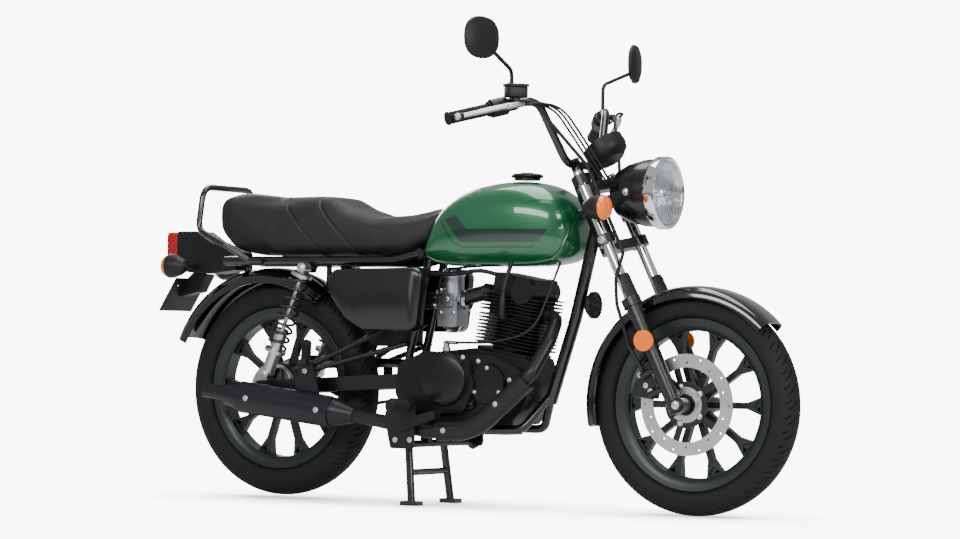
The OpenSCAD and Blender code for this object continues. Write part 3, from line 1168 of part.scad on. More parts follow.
module footrests() color([0.06, 0.06, 0.065]) {
    cross_bar(rest_bar_x, rest_bar_z, -carrier_y, carrier_y, rest_bar_r);
    bar([rest_bar_x, carrier_y - carrier_t, rest_bar_z], prop_seat - prop_axis * prop_r, prop_r * 0.8);
    bar(prop_seat - prop_axis * prop_r, prop_seat, prop_r);
    for (s = [-1, 1]) {
        side_plate(rounded_outline([[rest_bar_x - 40, rest_bar_z - 12], [rest_bar_x + 34, rest_bar_z - 12], [peg_x + 26, peg_z - 30], [peg_x + 22, peg_z + 14], [peg_x - 60, peg_z + 22], [rest_bar_x - 60, peg_z - 30]], 8),
            s * carrier_y - carrier_t / 2, s * carrier_y + carrier_t / 2);
        cross_bar(peg_x, peg_z, s > 0 ? carrier_y : -carrier_y - peg_l, s > 0 ? carrier_y + peg_l : -carrier_y, peg_r);
        translate([rest_bar_x - rest_block / 2, s * cradle_y - rest_block / 2, rest_bar_z]) cube([rest_block, rest_block, cradle_z - cradle_r - seat_gap - rest_bar_z]);
    }
}

strut_r = 7.5;
strut_y = post_y + cradle_r + strut_r - seat_gap;
strut_low = [pivot_x + 2, strut_y, 446];
strut_high = [pivot_x + 21, strut_y, 525];
pillion_peg_l = 84;
pillion_peg_r = 12;

module pillion_footrests() color([0.06, 0.06, 0.065]) for (s = [-1, 1]) {
    hanger = [hanger_x, hanger_y - carrier_t / 2, hanger_z];
    bar(at_side(strut_low, s), at_side(hanger, s), strut_r);
    bar(at_side(strut_high, s), at_side(hanger + [0, 0, 12], s), strut_r);
    side_plate(rounded_outline([[hanger_x - 20, hanger_z - 24], [hanger_x + 26, hanger_z - 20], [hanger_x + 26, hanger_z + 26], [hanger_x - 14, hanger_z + 30]], 8),
        s > 0 ? hanger_y - carrier_t : -hanger_y - carrier_t + seat_gap * 2, s > 0 ? hanger_y + carrier_t - seat_gap * 2 : -hanger_y + carrier_t);
    bar([hanger_x - 4, s * (hanger_y + carrier_t), hanger_z + 22], [hanger_x + 16, s * (hanger_y + pillion_peg_r * 2), hanger_z + pillion_peg_l], pillion_peg_r);
}

pedal_pivot = [rest_bar_x - 10, -carrier_y + carrier_t / 2 + seat_gap, 222];
pedal_y = carrier_y + carrier_t / 2 + seat_gap;
pedal_tip_x = pivot_x + 188;
pedal_tip_z = 258;
pedal_arm_t = 8;
shift_x = pivot_x + 170;
shift_z = 300;
shift_y = case_w / 2 + alternator_out + 8;
shift_tip_x = pivot_x + 300;
shift_tip_z = 262;
toe_r = 9;
toe_l = 40;

module foot_controls() color([0.07, 0.07, 0.075]) {
    side_plate([[rest_bar_x - 24, 208], [rest_bar_x + 4, 208], [pedal_tip_x, pedal_tip_z - 10], [pedal_tip_x + 8, pedal_tip_z + 8], [pedal_tip_x - 22, pedal_tip_z + 6], [rest_bar_x - 24, 234]], -pedal_y - pedal_arm_t, -pedal_y);
    cross_bar(pedal_tip_x - 8, pedal_tip_z - 2, -pedal_y - pedal_arm_t - toe_l / 2, -pedal_y, toe_r);
    cross_bar(shift_x, shift_z, case_w / 2 + cover_t + seat_gap, shift_y + pedal_arm_t, toe_r);
    bar([shift_x, shift_y, shift_z], [shift_tip_x, shift_y, shift_tip_z], toe_r - overrun);
    cross_bar(shift_tip_x, shift_tip_z, shift_y, shift_y + toe_l, toe_r);
}

// Horn ahead of the downtube
horn_r = 37;
horn_t = 22;
horn_x = front_axle_x - 332;
horn_z = 558;
horn_arm_r = 6;

module horn() color([0.08, 0.08, 0.085]) {
    turned([horn_x, 0, horn_z], [horn_x + 1, 0, horn_z], [[0, 0], [horn_r * 0.7, 0], [horn_r, horn_t * 0.5], [horn_r, horn_t], [horn_r * 0.7, horn_t * 0.8], [0, horn_t * 0.9]]);
    bar([horn_seat_x, 0, horn_z], [horn_x + horn_t / 2, 0, horn_z], horn_arm_r);
}
horn_tube_top = head_at(downtube_share);
horn_tilt = atan2(horn_tube_top[0] - downtube_knee[0], horn_tube_top[2] - downtube_knee[2]);
horn_seat_x = downtube_knee[0] + (horn_tube_top[0] - downtube_knee[0]) * (horn_z - downtube_knee[2]) / (horn_tube_top[2] - downtube_knee[2]) + frame_r / cos(horn_tilt) + horn_arm_r * tan(horn_tilt) + seat_gap;

// Stands: a side stand folded back on the left and a centre stand that carries the parked machine
prop_l = 170;
prop_leg_r = 10;
prop_dir = [-0.985, 0.15, 0.08];

module side_stand() color([0.05, 0.05, 0.055]) {
    tip = prop_hub + prop_l * unit(prop_dir);
    bar(prop_hub - prop_axis * prop_knuckle, prop_hub + prop_axis * prop_knuckle, prop_knuckle);
    bar(prop_hub, tip, prop_leg_r);
    bar(tip + [0, -prop_knuckle, 0], tip + [0, prop_knuckle * 2, 0], prop_leg_r * 1.2);
}

leg_y = 88;
leg_r = 11;
foot_fore = 25;
foot_y = 104;
foot_half_x = 26;
foot_half_y = 19;
foot_h = 12;

module centre_stand() color([0.05, 0.05, 0.055]) {
    cross_bar(stand_pivot_x, stand_pivot_z, -leg_y - leg_r, leg_y + leg_r, stand_pin_r);
    for (s = [-1, 1]) {
        bar([stand_pivot_x, s * leg_y, stand_pivot_z], [stand_pivot_x + foot_fore, s * foot_y, foot_h / 2], leg_r);
        cross_bar(stand_pivot_x, stand_pivot_z, s * leg_y - leg_r, s * leg_y + leg_r, leg_r * 1.4);
        translate([stand_pivot_x + foot_fore - foot_half_x, s * foot_y - foot_half_y, 0]) cube([foot_half_x * 2, foot_half_y * 2, foot_h]);
    }
    cross_bar(stand_pivot_x + foot_fore * 0.6, stand_pivot_z * 0.4, -leg_y - leg_r, leg_y + leg_r, leg_r - overrun);
}

frame();
engine_cases();
engine_covers();
cylinder_piece();  // cylinder
cylinder_head();
carburettor();
airbox();
exhaust();
heat_shields();
fuel_tank();
fuel_cap();
seat();
side_covers();
rear_fender();
tail_lamp();
red_lenses();
rear_indicators();
rear_amber_lenses();
plate_bracket();
grab_rail();
swingarm();
shock_absorbers();
shock_springs();
rear_axle();
footrests();
pillion_footrests();
foot_controls();
drive_chain();
chain_guard();
horn();
yokes();
fork_tubes();
fork_sliders();
handlebar();
hand_grips();
hand_controls();
mirrors();
headlamp_bowl();
headlamp_rim();
headlamp_lens();
instrument();
front_fender();
front_indicators();
front_amber_lenses();
brake_caliper();
control_cables();
front_axle();
front_tyre();
front_wheel();
brake_disc();
rear_tyre();
rear_wheel();
rear_sprocket();
side_stand();
centre_stand();
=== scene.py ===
import math

import bmesh
import bpy
from mathutils import Matrix, Vector


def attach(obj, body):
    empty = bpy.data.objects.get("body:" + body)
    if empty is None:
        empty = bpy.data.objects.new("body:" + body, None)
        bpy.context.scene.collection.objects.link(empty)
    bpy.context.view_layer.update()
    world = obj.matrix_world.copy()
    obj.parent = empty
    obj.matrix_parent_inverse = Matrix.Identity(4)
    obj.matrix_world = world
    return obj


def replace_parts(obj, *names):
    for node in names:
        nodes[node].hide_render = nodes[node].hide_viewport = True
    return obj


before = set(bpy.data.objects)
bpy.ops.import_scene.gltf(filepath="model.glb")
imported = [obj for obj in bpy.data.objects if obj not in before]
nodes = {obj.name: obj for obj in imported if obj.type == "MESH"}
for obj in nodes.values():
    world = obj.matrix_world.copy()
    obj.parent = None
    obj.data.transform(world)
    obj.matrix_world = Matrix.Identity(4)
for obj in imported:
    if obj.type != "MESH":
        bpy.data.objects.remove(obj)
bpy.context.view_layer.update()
scene = bpy.context.scene

# Camera
# A long lens ahead of the machine on its right side, a little below the tank and
# rolled by less than a degree, as the photograph was taken.
camera_swing = math.radians(30.75)
camera_rise = math.radians(-1.26)
camera_roll = math.radians(0.82)
camera_aim = Vector((0.0328, 0, 0.6545))
camera_distance = 8.6515
camera_back = Vector((math.sin(camera_swing) * math.cos(camera_rise),
                      -math.cos(camera_swing) * math.cos(camera_rise), math.sin(camera_rise)))
camera_right = Vector((0, 0, 1)).cross(camera_back).normalized()
camera_up = camera_back.cross(camera_right)
rolled_right = camera_right * math.cos(camera_roll) + camera_up * math.sin(camera_roll)
rolled_up = camera_up * math.cos(camera_roll) - camera_right * math.sin(camera_roll)
camera_lens = bpy.data.cameras.new("camera")
camera_lens.sensor_fit = "HORIZONTAL"
camera_lens.sensor_width = 36
camera_lens.lens = 117.13
camera_lens.clip_end = 100
camera = bpy.data.objects.new("camera", camera_lens)
scene.collection.objects.link(camera)
camera.matrix_world = (Matrix.Translation(camera_aim + camera_back * camera_distance)
                       @ Matrix((rolled_right, rolled_up, camera_back)).transposed().to_4x4())
scene.camera = camera


# Studio lights
# A wide soft box overhead, a long one on the camera's side for the line of light along
# the tank, and two smaller ones front and rear.
def soft_box(name, spot, aim, width, height, power):
    lamp = bpy.data.lights.new(name, "AREA")
    lamp.shape = "RECTANGLE"
    lamp.size = width
    lamp.size_y = height
    lamp.energy = power
    box = bpy.data.objects.new(name, lamp)
    box.matrix_world = (Matrix.Translation(spot)
                        @ (Vector(aim) - Vector(spot)).to_track_quat("-Z", "Y").to_matrix().to_4x4())
    scene.collection.objects.link(box)


soft_box("overhead_box", (0.1, 0.1, 3.4), (0, 0, 0), 3.6, 1.7, 120)
soft_box("side_box", (0.5, -4.2, 2.3), (0, 0, 0.6), 4.2, 0.9, 150)
soft_box("front_box", (4.2, -1.6, 1.9), (0.4, 0, 0.6), 1.2, 1.8, 95)
soft_box("rear_box", (-3.4, 2.6, 2.2), (0, 0, 0.6), 1.6, 1.6, 85)


# Studio room
# White walls that the camera sees brightly lit, while the machine gets only a little light
# from them, and its polished parts a little more.
def place(tree, kind, inputs=None, **settings):
    piece = tree.nodes.new(kind)
    for name, value in settings.items():
        setattr(piece, name, value)
    for name, value in (inputs or {}).items():
        if isinstance(value, bpy.types.NodeSocket):
            tree.links.new(value, piece.inputs[name])
        else:
            piece.inputs[name].default_value = value
    return piece


room = bpy.data.worlds.new("white_room")
room.use_nodes = True
room_tree = room.node_tree
room_seen = place(room_tree, "ShaderNodeBackground", {"Color": (1, 1, 1, 1), "Strength": 9.0})
room_lit = room_tree.nodes["Background"]
room_lit.inputs["Color"].default_value = (0.95, 0.97, 1, 1)
room_lit.inputs["Strength"].default_value = 0.16
room_ray = place(room_tree, "ShaderNodeLightPath")
room_mirrored = place(room_tree, "ShaderNodeBackground", {"Color": (0.96, 0.98, 1, 1), "Strength": 0.5})
room_gloss = place(room_tree, "ShaderNodeMixShader", {
    0: room_ray.outputs["Is Glossy Ray"], 1: room_lit.outputs[0], 2: room_mirrored.outputs[0]})
room_mix = place(room_tree, "ShaderNodeMixShader", {
    0: room_ray.outputs["Is Camera Ray"], 1: room_gloss.outputs[0], 2: room_seen.outputs[0]})
room_tree.links.new(room_mix.outputs[0], room_tree.nodes["World Output"].inputs["Surface"])
scene.world = room


# Floor
# A plain pale studio floor, painted and matt, that fades into the white room: to the camera it glows white,
# with a painted soft shadow where the machine stands near it.
def maths(tree, operation, *values):
    """Result of a sum on numbers or sockets."""
    return place(tree, "ShaderNodeMath", dict(enumerate(values)), operation=operation).outputs[0]


def piece_from(bm, name, material, crease=180):
    mesh = bpy.data.meshes.new(name)
    for face in bm.faces:
        face.smooth = True
    bm.to_mesh(mesh)
    bm.free()
    mesh.set_sharp_from_angle(angle=math.radians(crease))
    piece = bpy.data.objects.new(name, mesh)
    scene.collection.objects.link(piece)
    mesh.materials.append(material)
    return piece


floor_half = 40
floor_glow_share = 0.72
floor_paint = bpy.data.materials.new("floor_paint")
floor_paint.use_nodes = True
floor_tree = floor_paint.node_tree
floor_spots = place(floor_tree, "ShaderNodeTexCoord")
floor_noise = place(floor_tree, "ShaderNodeTexNoise", {"Vector": floor_spots.outputs["Object"], "Scale": 0.6})
floor_tone = place(floor_tree, "ShaderNodeMapRange", {
    "Value": floor_noise.outputs["Fac"], "To Min": 0.90, "To Max": 0.94})
floor_shader = floor_tree.nodes["Principled BSDF"]
floor_tree.links.new(floor_tone.outputs["Result"], floor_shader.inputs["Base Color"])
floor_shader.inputs["Roughness"].default_value = 0.75
floor_ray = place(floor_tree, "ShaderNodeLightPath")
# Painted shadow: ambient occlusion dims the floor's camera-seen glow where the machine stands near it.
floor_painted_shadow = place(floor_tree, "ShaderNodeAmbientOcclusion", {"Distance": 0.45})
floor_shade = place(floor_tree, "ShaderNodeMapRange", {
    "Value": floor_painted_shadow.outputs["AO"], "From Min": 0.45, "From Max": 0.97, "To Min": 1.5, "To Max": 12.0})
floor_glow = place(floor_tree, "ShaderNodeEmission", {
    "Color": (1, 1, 1, 1), "Strength": floor_shade.outputs["Result"]})
floor_mix = place(floor_tree, "ShaderNodeMixShader", {
    0: maths(floor_tree, "MULTIPLY", floor_ray.outputs["Is Camera Ray"], floor_glow_share),
    1: floor_shader.outputs[0], 2: floor_glow.outputs[0]})
floor_tree.links.new(floor_mix.outputs[0], floor_tree.nodes["Material Output"].inputs["Surface"])
floor_bm = bmesh.new()
bmesh.ops.create_grid(floor_bm, x_segments=1, y_segments=1, size=floor_half)
piece_from(floor_bm, "floor", floor_paint)


# Frame
# A welded steel tube frame: backbone, one downtube, a cradle of two tubes and seat rails,
# all in gloss black paint that shows a faint orange-peel ripple.
def vector_maths(tree, operation, *values, **inputs):
    """Result of a sum on vectors or sockets."""
    total = place(tree, "ShaderNodeVectorMath", {**dict(enumerate(values)), **inputs}, operation=operation)
    return total.outputs["Value" if operation in ("DOT_PRODUCT", "LENGTH", "DISTANCE") else "Vector"]


def group_tree(name, inputs, outputs):
    tree = bpy.data.node_groups.new(name, "ShaderNodeTree")
    kinds = {"c": "NodeSocketColor", "f": "NodeSocketFloat", "v": "NodeSocketVector"}
    for label, kind in inputs.items():
        tree.interface.new_socket(label, in_out="INPUT", socket_type=kinds[kind])
    for label, kind in outputs.items():
        tree.interface.new_socket(label, in_out="OUTPUT", socket_type=kinds[kind])
    return tree, tree.nodes.new("NodeGroupInput").outputs, tree.nodes.new("NodeGroupOutput").inputs


grain_tree, grain_in, grain_out = group_tree(
    "grain", {"Color": "c", "Tone": "f", "Scale": "f", "Rough low": "f", "Rough high": "f"},
    {"Color": "c", "Roughness": "f", "Height": "f"})
grain_spots = place(grain_tree, "ShaderNodeTexCoord").outputs["Object"]
grain_cloud = place(grain_tree, "ShaderNodeTexNoise", {
    "Vector": grain_spots, "Scale": 9.0, "Detail": 4.0}).outputs["Fac"]
grain_fine = place(grain_tree, "ShaderNodeTexNoise", {
    "Vector": grain_spots, "Scale": grain_in["Scale"], "Detail": 3.0}).outputs["Fac"]
grain_swing = maths(grain_tree, "MULTIPLY", maths(grain_tree, "SUBTRACT", grain_cloud, 0.5), grain_in["Tone"])
grain_tint = vector_maths(grain_tree, "SCALE", grain_in["Color"], Scale=maths(grain_tree, "ADD", grain_swing, 1.0))
grain_mean = maths(grain_tree, "MULTIPLY", maths(grain_tree, "ADD", grain_cloud, grain_fine), 0.5)
grain_rough = place(grain_tree, "ShaderNodeMapRange", {
    "Value": grain_mean, "From Min": 0.3, "From Max": 0.7,
    "To Min": grain_in["Rough low"], "To Max": grain_in["Rough high"]})
grain_tree.links.new(grain_tint, grain_out["Color"])
grain_tree.links.new(grain_rough.outputs["Result"], grain_out["Roughness"])
grain_tree.links.new(grain_fine, grain_out["Height"])


def finish(name, colour, rough, grain, depth, tone=0.3, **sockets):
    """Material with a clouded colour, a range of roughness and a fine grain of some depth."""
    material = bpy.data.materials.new(name)
    material.use_nodes = True
    tree = material.node_tree
    shader = tree.nodes["Principled BSDF"]
    skin = place(tree, "ShaderNodeGroup", node_tree=grain_tree)
    for label, value in {"Color": (*colour, 1), "Tone": tone, "Scale": grain,
                         "Rough low": rough[0], "Rough high": rough[1]}.items():
        skin.inputs[label].default_value = value
    bump = place(tree, "ShaderNodeBump", {
        "Strength": 1.0, "Distance": depth, "Height": skin.outputs["Height"]})
    tree.links.new(skin.outputs["Color"], shader.inputs["Base Color"])
    tree.links.new(skin.outputs["Roughness"], shader.inputs["Roughness"])
    tree.links.new(bump.outputs[0], shader.inputs["Normal"])
    for label, value in sockets.items():
        shader.inputs[label.replace("_", " ")].default_value = value
    return material


shade_tree = bpy.data.node_groups.new("welded_shading", "GeometryNodeTree")
shade_tree.interface.new_socket("Geometry", in_out="INPUT", socket_type="NodeSocketGeometry")
shade_angle = shade_tree.interface.new_socket("Crease", in_out="INPUT", socket_type="NodeSocketFloat")
shade_tree.interface.new_socket("Geometry", in_out="OUTPUT", socket_type="NodeSocketGeometry")
shade_in = shade_tree.nodes.new("NodeGroupInput").outputs
shade_out = shade_tree.nodes.new("NodeGroupOutput").inputs
shade_weld = place(shade_tree, "GeometryNodeMergeByDistance", {
    "Geometry": shade_in["Geometry"], "Distance": 0.00002})
shade_edge = place(shade_tree, "GeometryNodeInputMeshEdgeAngle")
shade_keen = place(shade_tree, "FunctionNodeCompare", {
    "A": shade_edge.outputs["Unsigned Angle"], "B": shade_in["Crease"]}, operation="GREATER_THAN")
shade_set = place(shade_tree, "GeometryNodeSetMeshNormal", {
    "Mesh": shade_weld.outputs[0], "Remove Custom": True,
    "Edge Sharpness": shade_keen.outputs["Result"], "Face Sharpness": False}, mode="SHARPNESS")
shade_tree.links.new(shade_set.outputs[0], shade_out["Geometry"])


def dress(name, material, crease=40, edge=0.0):
    """Gives a solid its material, smooth shading up to the crease angle and rounded edges."""
    piece = nodes[name]
    piece.data.materials.clear()
    piece.data.materials.append(material)
    shading = piece.modifiers.new("shading", "NODES")
    shading.node_group = shade_tree
    shading[shade_angle.identifier] = math.radians(crease)
    if edge:
        rounding = piece.modifiers.new("rounding", "BEVEL")
        rounding.width = edge
        rounding.segments = 2
        rounding.limit_method = "ANGLE"
        rounding.angle_limit = math.radians(crease)
        rounding.harden_normals = False


frame_black = finish("frame_black", (0.004, 0.004, 0.0045), (0.2, 0.3), 260, 0.00006, Coat_Weight=0.3)
dress("frame", frame_black)

# Engine castings
# An air-cooled single with a cast, finned barrel and head, painted satin black; the covers
# on its sides are smooth castings held by screws.
engine_black = finish("engine_black", (0.006, 0.006, 0.007), (0.32, 0.44), 700, 0.00012, Specular_IOR_Level=0.22)
cover_black = finish("cover_black", (0.005, 0.0055, 0.006), (0.24, 0.34), 500, 0.00006, Specular_IOR_Level=0.3)
for name in ("engine_cases", "cylinder", "cylinder_head"):
    dress(name, engine_black, edge=0.0006)
dress("engine_covers", cover_black, edge=0.004)

# Engine screws
# Plated steel hexagon screws on washers round the clutch cover and the crank cap, screwed
# into the covers from the side.
screw_steel = finish("screw_steel", (0.62, 0.63, 0.65), (0.2, 0.34), 300, 0.00002, Metallic=1.0)


def spun(bm, outline, centre, axis, steps=32):
    """Outline of (distance along the axis, radius) turned right round the axis."""
    axis = Vector(axis).normalized()
    out = axis.orthogonal().normalized()
    line = [bm.verts.new(Vector(centre) + axis * along + out * radius) for along, radius in outline]
    edges = [bm.edges.new(pair) for pair in zip(line, line[1:])]
    bmesh.ops.spin(bm, geom=line + edges, cent=centre, axis=axis, angle=2 * math.pi, steps=steps, use_merge=True)
    bmesh.ops.remove_doubles(bm, verts=bm.verts, dist=0.000001)
    bmesh.ops.recalc_face_normals(bm, faces=bm.faces)


def fit(bm, name, material, body, crease=35):
    """Finished piece on its body."""
    piece = piece_from(bm, name, material, crease)
    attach(piece, body)
    return piece


def bolt(bm, spot, axis, radius, height):
    """Hexagon head on a round washer."""
    washer, flange = height * 0.25, radius * 1.3
    spun(bm, ((-washer, 0), (-washer, flange), (washer, flange), (washer, 0)), spot, axis, 16)
    spun(bm, ((washer, 0), (washer, radius), (height * 0.85, radius), (height, radius * 0.8), (height, 0)),
         spot, axis, 6)


def side_bolts(name, body, node, spots, radius, height, sides=(-1,)):
    """Bolts square to the machine's side, each on the surface that the node has at that spot."""
    bm = bmesh.new()
    for side in sides:
        for x, z in spots:
            hit, where, _, _ = nodes[node].ray_cast(Vector((x, side, z)), Vector((0, -side, 0)))
            if not hit:
                raise ValueError(f"{name}: nothing of {node} at {x}, {z}")
            bolt(bm, where, (0, side, 0), radius, height)
    return fit(bm, name, screw_steel, body)


side_bolts("cover_screws", "chassis", "engine_covers",
           ((0.097, 0.402), (0.060, 0.412), (0.196, 0.352), (0.180, 0.290)), 0.005, 0.006)
side_bolts("crank_cap_screws", "chassis", "engine_covers",
           ((0.131, 0.384), (0.093, 0.318), (0.169, 0.318)), 0.0045, 0.005)


# Oil filler
# A moulded black plug with a finger ridge, screwed into the clutch cover.
def edges_of(verts):
    return list({edge for vert in verts for edge in vert.link_edges})


def soft_block(bm, matrix, soft, segments):
    """Block with rounded edges."""
    block = bmesh.ops.create_cube(bm, size=1, matrix=matrix)["verts"]
    bmesh.ops.bevel(bm, geom=edges_of(block), offset=soft, affect="EDGES", segments=segments, profile=0.5,
                    material=-1)


filler_spot = nodes["engine_covers"].ray_cast(Vector((0.075, -1, 0.285)), Vector((0, 1, 0)))[1]
filler_outline = ((-0.004, 0), (-0.004, 0.017), (0.006, 0.017), (0.009, 0.015), (0.009, 0.0))
filler_ridge = (0.026, 0.008, 0.006)
filler_ridge_out = Vector((0, -0.011, 0))
filler_bm = bmesh.new()
spun(filler_bm, filler_outline, filler_spot, (0, -1, 0), 24)
soft_block(filler_bm, Matrix.Translation(filler_spot + filler_ridge_out) @ Matrix.Diagonal((*filler_ridge, 1)),
           0.0015, 2)
fit(filler_bm, "oil_filler", cover_black, "chassis")


# Clutch release and cover dome
# A turned steel boss with a bent arm, pressed into the top of the clutch cover, and the
# cover's shallow cast dome.
def rounded(points, cut, steps=6):
    """Line of points whose corners are eased by short curves."""
    points = [Vector(point) for point in points]
    path = [points[0]]
    for before, corner, after in zip(points, points[1:], points[2:]):
        start = corner + (before - corner).normalized() * min(cut, (before - corner).length / 2)
        stop = corner + (after - corner).normalized() * min(cut, (after - corner).length / 2)
        for step in range(steps + 1):
            part = step / steps
            path.append(start * (1 - part) ** 2 + corner * 2 * part * (1 - part) + stop * part ** 2)
    return path + [points[-1]]


def drawn_on(bm, edges):
    """Extrudes a line of edges; gives the new line's points and edges."""
    made = bmesh.ops.extrude_edge_only(bm, edges=edges)["geom"]
    points = [part for part in made if isinstance(part, bmesh.types.BMVert)]
    return points, [part for part in made if isinstance(part, bmesh.types.BMEdge)
                    and all(vert in points for vert in part.verts)]


def swept(bm, path, radii, sides=10):
    """Round skin extruded along a path, with one radius for all of it or one for each point."""
    radii = radii if isinstance(radii, (list, tuple)) else [radii] * len(path)
    loop = bmesh.ops.create_circle(bm, cap_ends=False, segments=sides, radius=1)["verts"]
    edges = edges_of(loop)
    first, stand = list(loop), Matrix.Identity(4)
    for count, (point, radius) in enumerate(zip(path, radii)):
        ahead = path[min(count + 1, len(path) - 1)] - path[max(count - 1, 0)]
        turn = stand.to_3x3().normalized().col[2].rotation_difference(ahead.normalized()).to_matrix()
        seat = (Matrix.Translation(point) @ (turn @ stand.to_3x3().normalized()).to_4x4()
                @ Matrix.Diagonal((radius, radius, radius, 1)))
        if count:
            loop, edges = drawn_on(bm, edges)
        bmesh.ops.transform(bm, matrix=seat @ stand.inverted(), verts=loop)
        stand = seat
    for ends in (first, loop):
        bmesh.ops.contextual_create(bm, geom=ends)
    bmesh.ops.recalc_face_normals(bm, faces=bm.faces)


release_foot = (-0.013, -0.097, 0.404)
release_outline = ((0, 0), (0, 0.011), (0.034, 0.011), (0.036, 0.009), (0.050, 0.009), (0.052, 0.007), (0.052, 0))
release_arm = ((-0.013, -0.097, 0.452), (-0.004, -0.108, 0.452), (0.030, -0.1125, 0.451))
release_bm = bmesh.new()
spun(release_bm, release_outline, release_foot, (0, 0, 1), 24)
swept(release_bm, rounded(release_arm, 0.01), 0.0052, 8)
fit(release_bm, "clutch_release", screw_steel, "chassis")

dome_centre = (0.003, -0.1425, 0.352)
dome_outline = ((-0.006, 0), (-0.006, 0.072), (0.001, 0.072), (0.004, 0.070), (0.006, 0.064), (0.0085, 0.050),
                (0.0105, 0.030), (0.0115, 0.012), (0.0115, 0))
dome_bm = bmesh.new()
spun(dome_bm, dome_outline, dome_centre, (0, -1, 0), 64)
fit(dome_bm, "clutch_dome", cover_black, "chassis", 40)

# Engine hoses
# Moulded rubber over wire or bore: the spark plug's cap and lead, the clutch cable, the
# crankcase breather and the throttle cable, each pushed or screwed on at both ends.
lead_rubber = finish("lead_rubber", (0.007, 0.007, 0.0075), (0.42, 0.56), 600, 0.00004, Specular_IOR_Level=0.3)
plug_lead = ((0.158, -0.062, 0.515), (0.158, -0.092, 0.520), (0.163, -0.094, 0.600), (0.178, -0.070, 0.682))
plug_radii = [0.0095] * 9 + [0.0065] * 7
clutch_cable = ((0.026, -0.112, 0.451), (0.070, -0.114, 0.452), (0.140, -0.116, 0.452), (0.262, -0.100, 0.480),
                (0.292, -0.060, 0.600), (0.318, -0.020, 0.720))
breather = ((0.120, -0.058, 0.640), (0.075, -0.072, 0.652), (0.000, -0.070, 0.640), (-0.120, -0.062, 0.640),
            (-0.200, -0.050, 0.625))
throttle_cable = ((-0.050, -0.020, 0.630), (-0.045, -0.045, 0.655), (0.030, -0.055, 0.660), (0.150, -0.040, 0.668))
hose_bm = bmesh.new()
for route, cut, radii, sides in ((plug_lead, 0.03, plug_radii, 12), (clutch_cable, 0.06, 0.0036, 10),
                                 (breather, 0.04, 0.0062, 10), (throttle_cable, 0.03, 0.0032, 10)):
    swept(hose_bm, rounded(route, cut), radii, sides)
fit(hose_bm, "engine_hoses", lead_rubber, "chassis", 60)


# Carburettor
# A die-cast alloy body behind the head, between black rubber stubs, with a turned top cap, a
# float bowl plug and a choke knob, all held by small screws.
def part_painted(material, bare, paint):
    """Keeps the material's own metal where the mask is 1 and shows paint elsewhere."""
    tree = material.node_tree
    shader = tree.nodes["Principled BSDF"]
    mix = place(tree, "ShaderNodeMix", {"Factor": bare}, data_type="RGBA")
    tree.links.new(shader.inputs["Base Color"].links[0].from_socket, mix.inputs["B"])
    mix.inputs["A"].default_value = paint
    tree.links.new(mix.outputs["Result"], shader.inputs["Base Color"])
    tree.links.new(bare, shader.inputs["Metallic"])


carb_x = -0.053
carb_half = 0.036
carb_side = -0.031
carb_alloy = finish("carb_alloy", (0.33, 0.34, 0.36), (0.34, 0.5), 420, 0.00012, Metallic=0.9)
carb_tree = carb_alloy.node_tree
carb_spots = place(carb_tree, "ShaderNodeSeparateXYZ", {
    0: place(carb_tree, "ShaderNodeTexCoord").outputs["Object"]})
carb_off = maths(carb_tree, "ABSOLUTE", maths(carb_tree, "ADD", carb_spots.outputs["X"], -carb_x))
part_painted(carb_alloy, maths(carb_tree, "LESS_THAN", carb_off, carb_half), (0.008, 0.008, 0.008, 1))
dress("carburettor", carb_alloy, edge=0.002)

top_outline = ((-0.004, 0), (-0.004, 0.034), (0.004, 0.034), (0.005, 0.031), (0.014, 0.028), (0.020, 0.018),
               (0.022, 0))
bowl_outline = ((-0.004, 0), (-0.004, 0.026), (0.006, 0.026), (0.010, 0.022), (0.018, 0.020), (0.022, 0.012),
                (0.022, 0))
knob_outline = ((-0.002, 0), (-0.002, 0.020), (0.004, 0.020), (0.005, 0.016), (0.009, 0.016), (0.010, 0.021),
                (0.013, 0.021), (0.013, 0.006), (0.017, 0.006), (0.017, 0))
carb_bm = bmesh.new()
spun(carb_bm, top_outline, (carb_x, 0, 0.6395), (0, 0, 1), 28)
for lug_turn in range(4):
    lug = Vector((0.030, 0, 0)) @ Matrix.Rotation(math.radians(45 + 90 * lug_turn), 3, "Z")
    bolt(carb_bm, Vector((carb_x, 0, 0.643)) + lug, (0, 0, 1), 0.0035, 0.005)
spun(carb_bm, bowl_outline, (carb_x, 0, 0.500), (0, 0, -1), 24)
spun(carb_bm, knob_outline, (-0.048, carb_side, 0.572), (0, -1, 0), 28)
for pin_x, pin_z in ((-0.074, 0.598), (-0.074, 0.535), (-0.032, 0.535)):
    bolt(carb_bm, (pin_x, carb_side, pin_z), (0, -1, 0), 0.004, 0.006)
fit(carb_bm, "carburettor_caps", screw_steel, "chassis")

# Airbox and intake bands
# A moulded black box behind the carburettor; bent steel bands with a screw clamp the rubber
# stubs between them.
moulded_black = finish("moulded_black", (0.006, 0.006, 0.0065), (0.4, 0.54), 1500, 0.00012, Specular_IOR_Level=0.3)
dress("airbox", moulded_black, edge=0.004)
band_outline = ((-0.005, 0.0235), (-0.005, 0.0258), (0.005, 0.0258), (0.005, 0.0235), (-0.005, 0.0235))
band_bm = bmesh.new()
for band_x in (-0.158, -0.098, -0.006):
    spun(band_bm, band_outline, (band_x, 0, 0.566), (1, 0, 0), 32)
    bolt(band_bm, (band_x, -0.012, 0.590), (0, -0.5, 0.87), 0.004, 0.007)
fit(band_bm, "intake_bands", screw_steel, "chassis")

# Exhaust
# A bent steel header and a welded silencer in matt heat-resistant black; pressed steel shields
# stand off both, held by screws.
exhaust_black = finish("exhaust_black", (0.0075, 0.0075, 0.010), (0.34, 0.42), 900, 0.00005, Specular_IOR_Level=0.3)
dress("exhaust", exhaust_black)
dress("heat_shields", exhaust_black, edge=0.001)


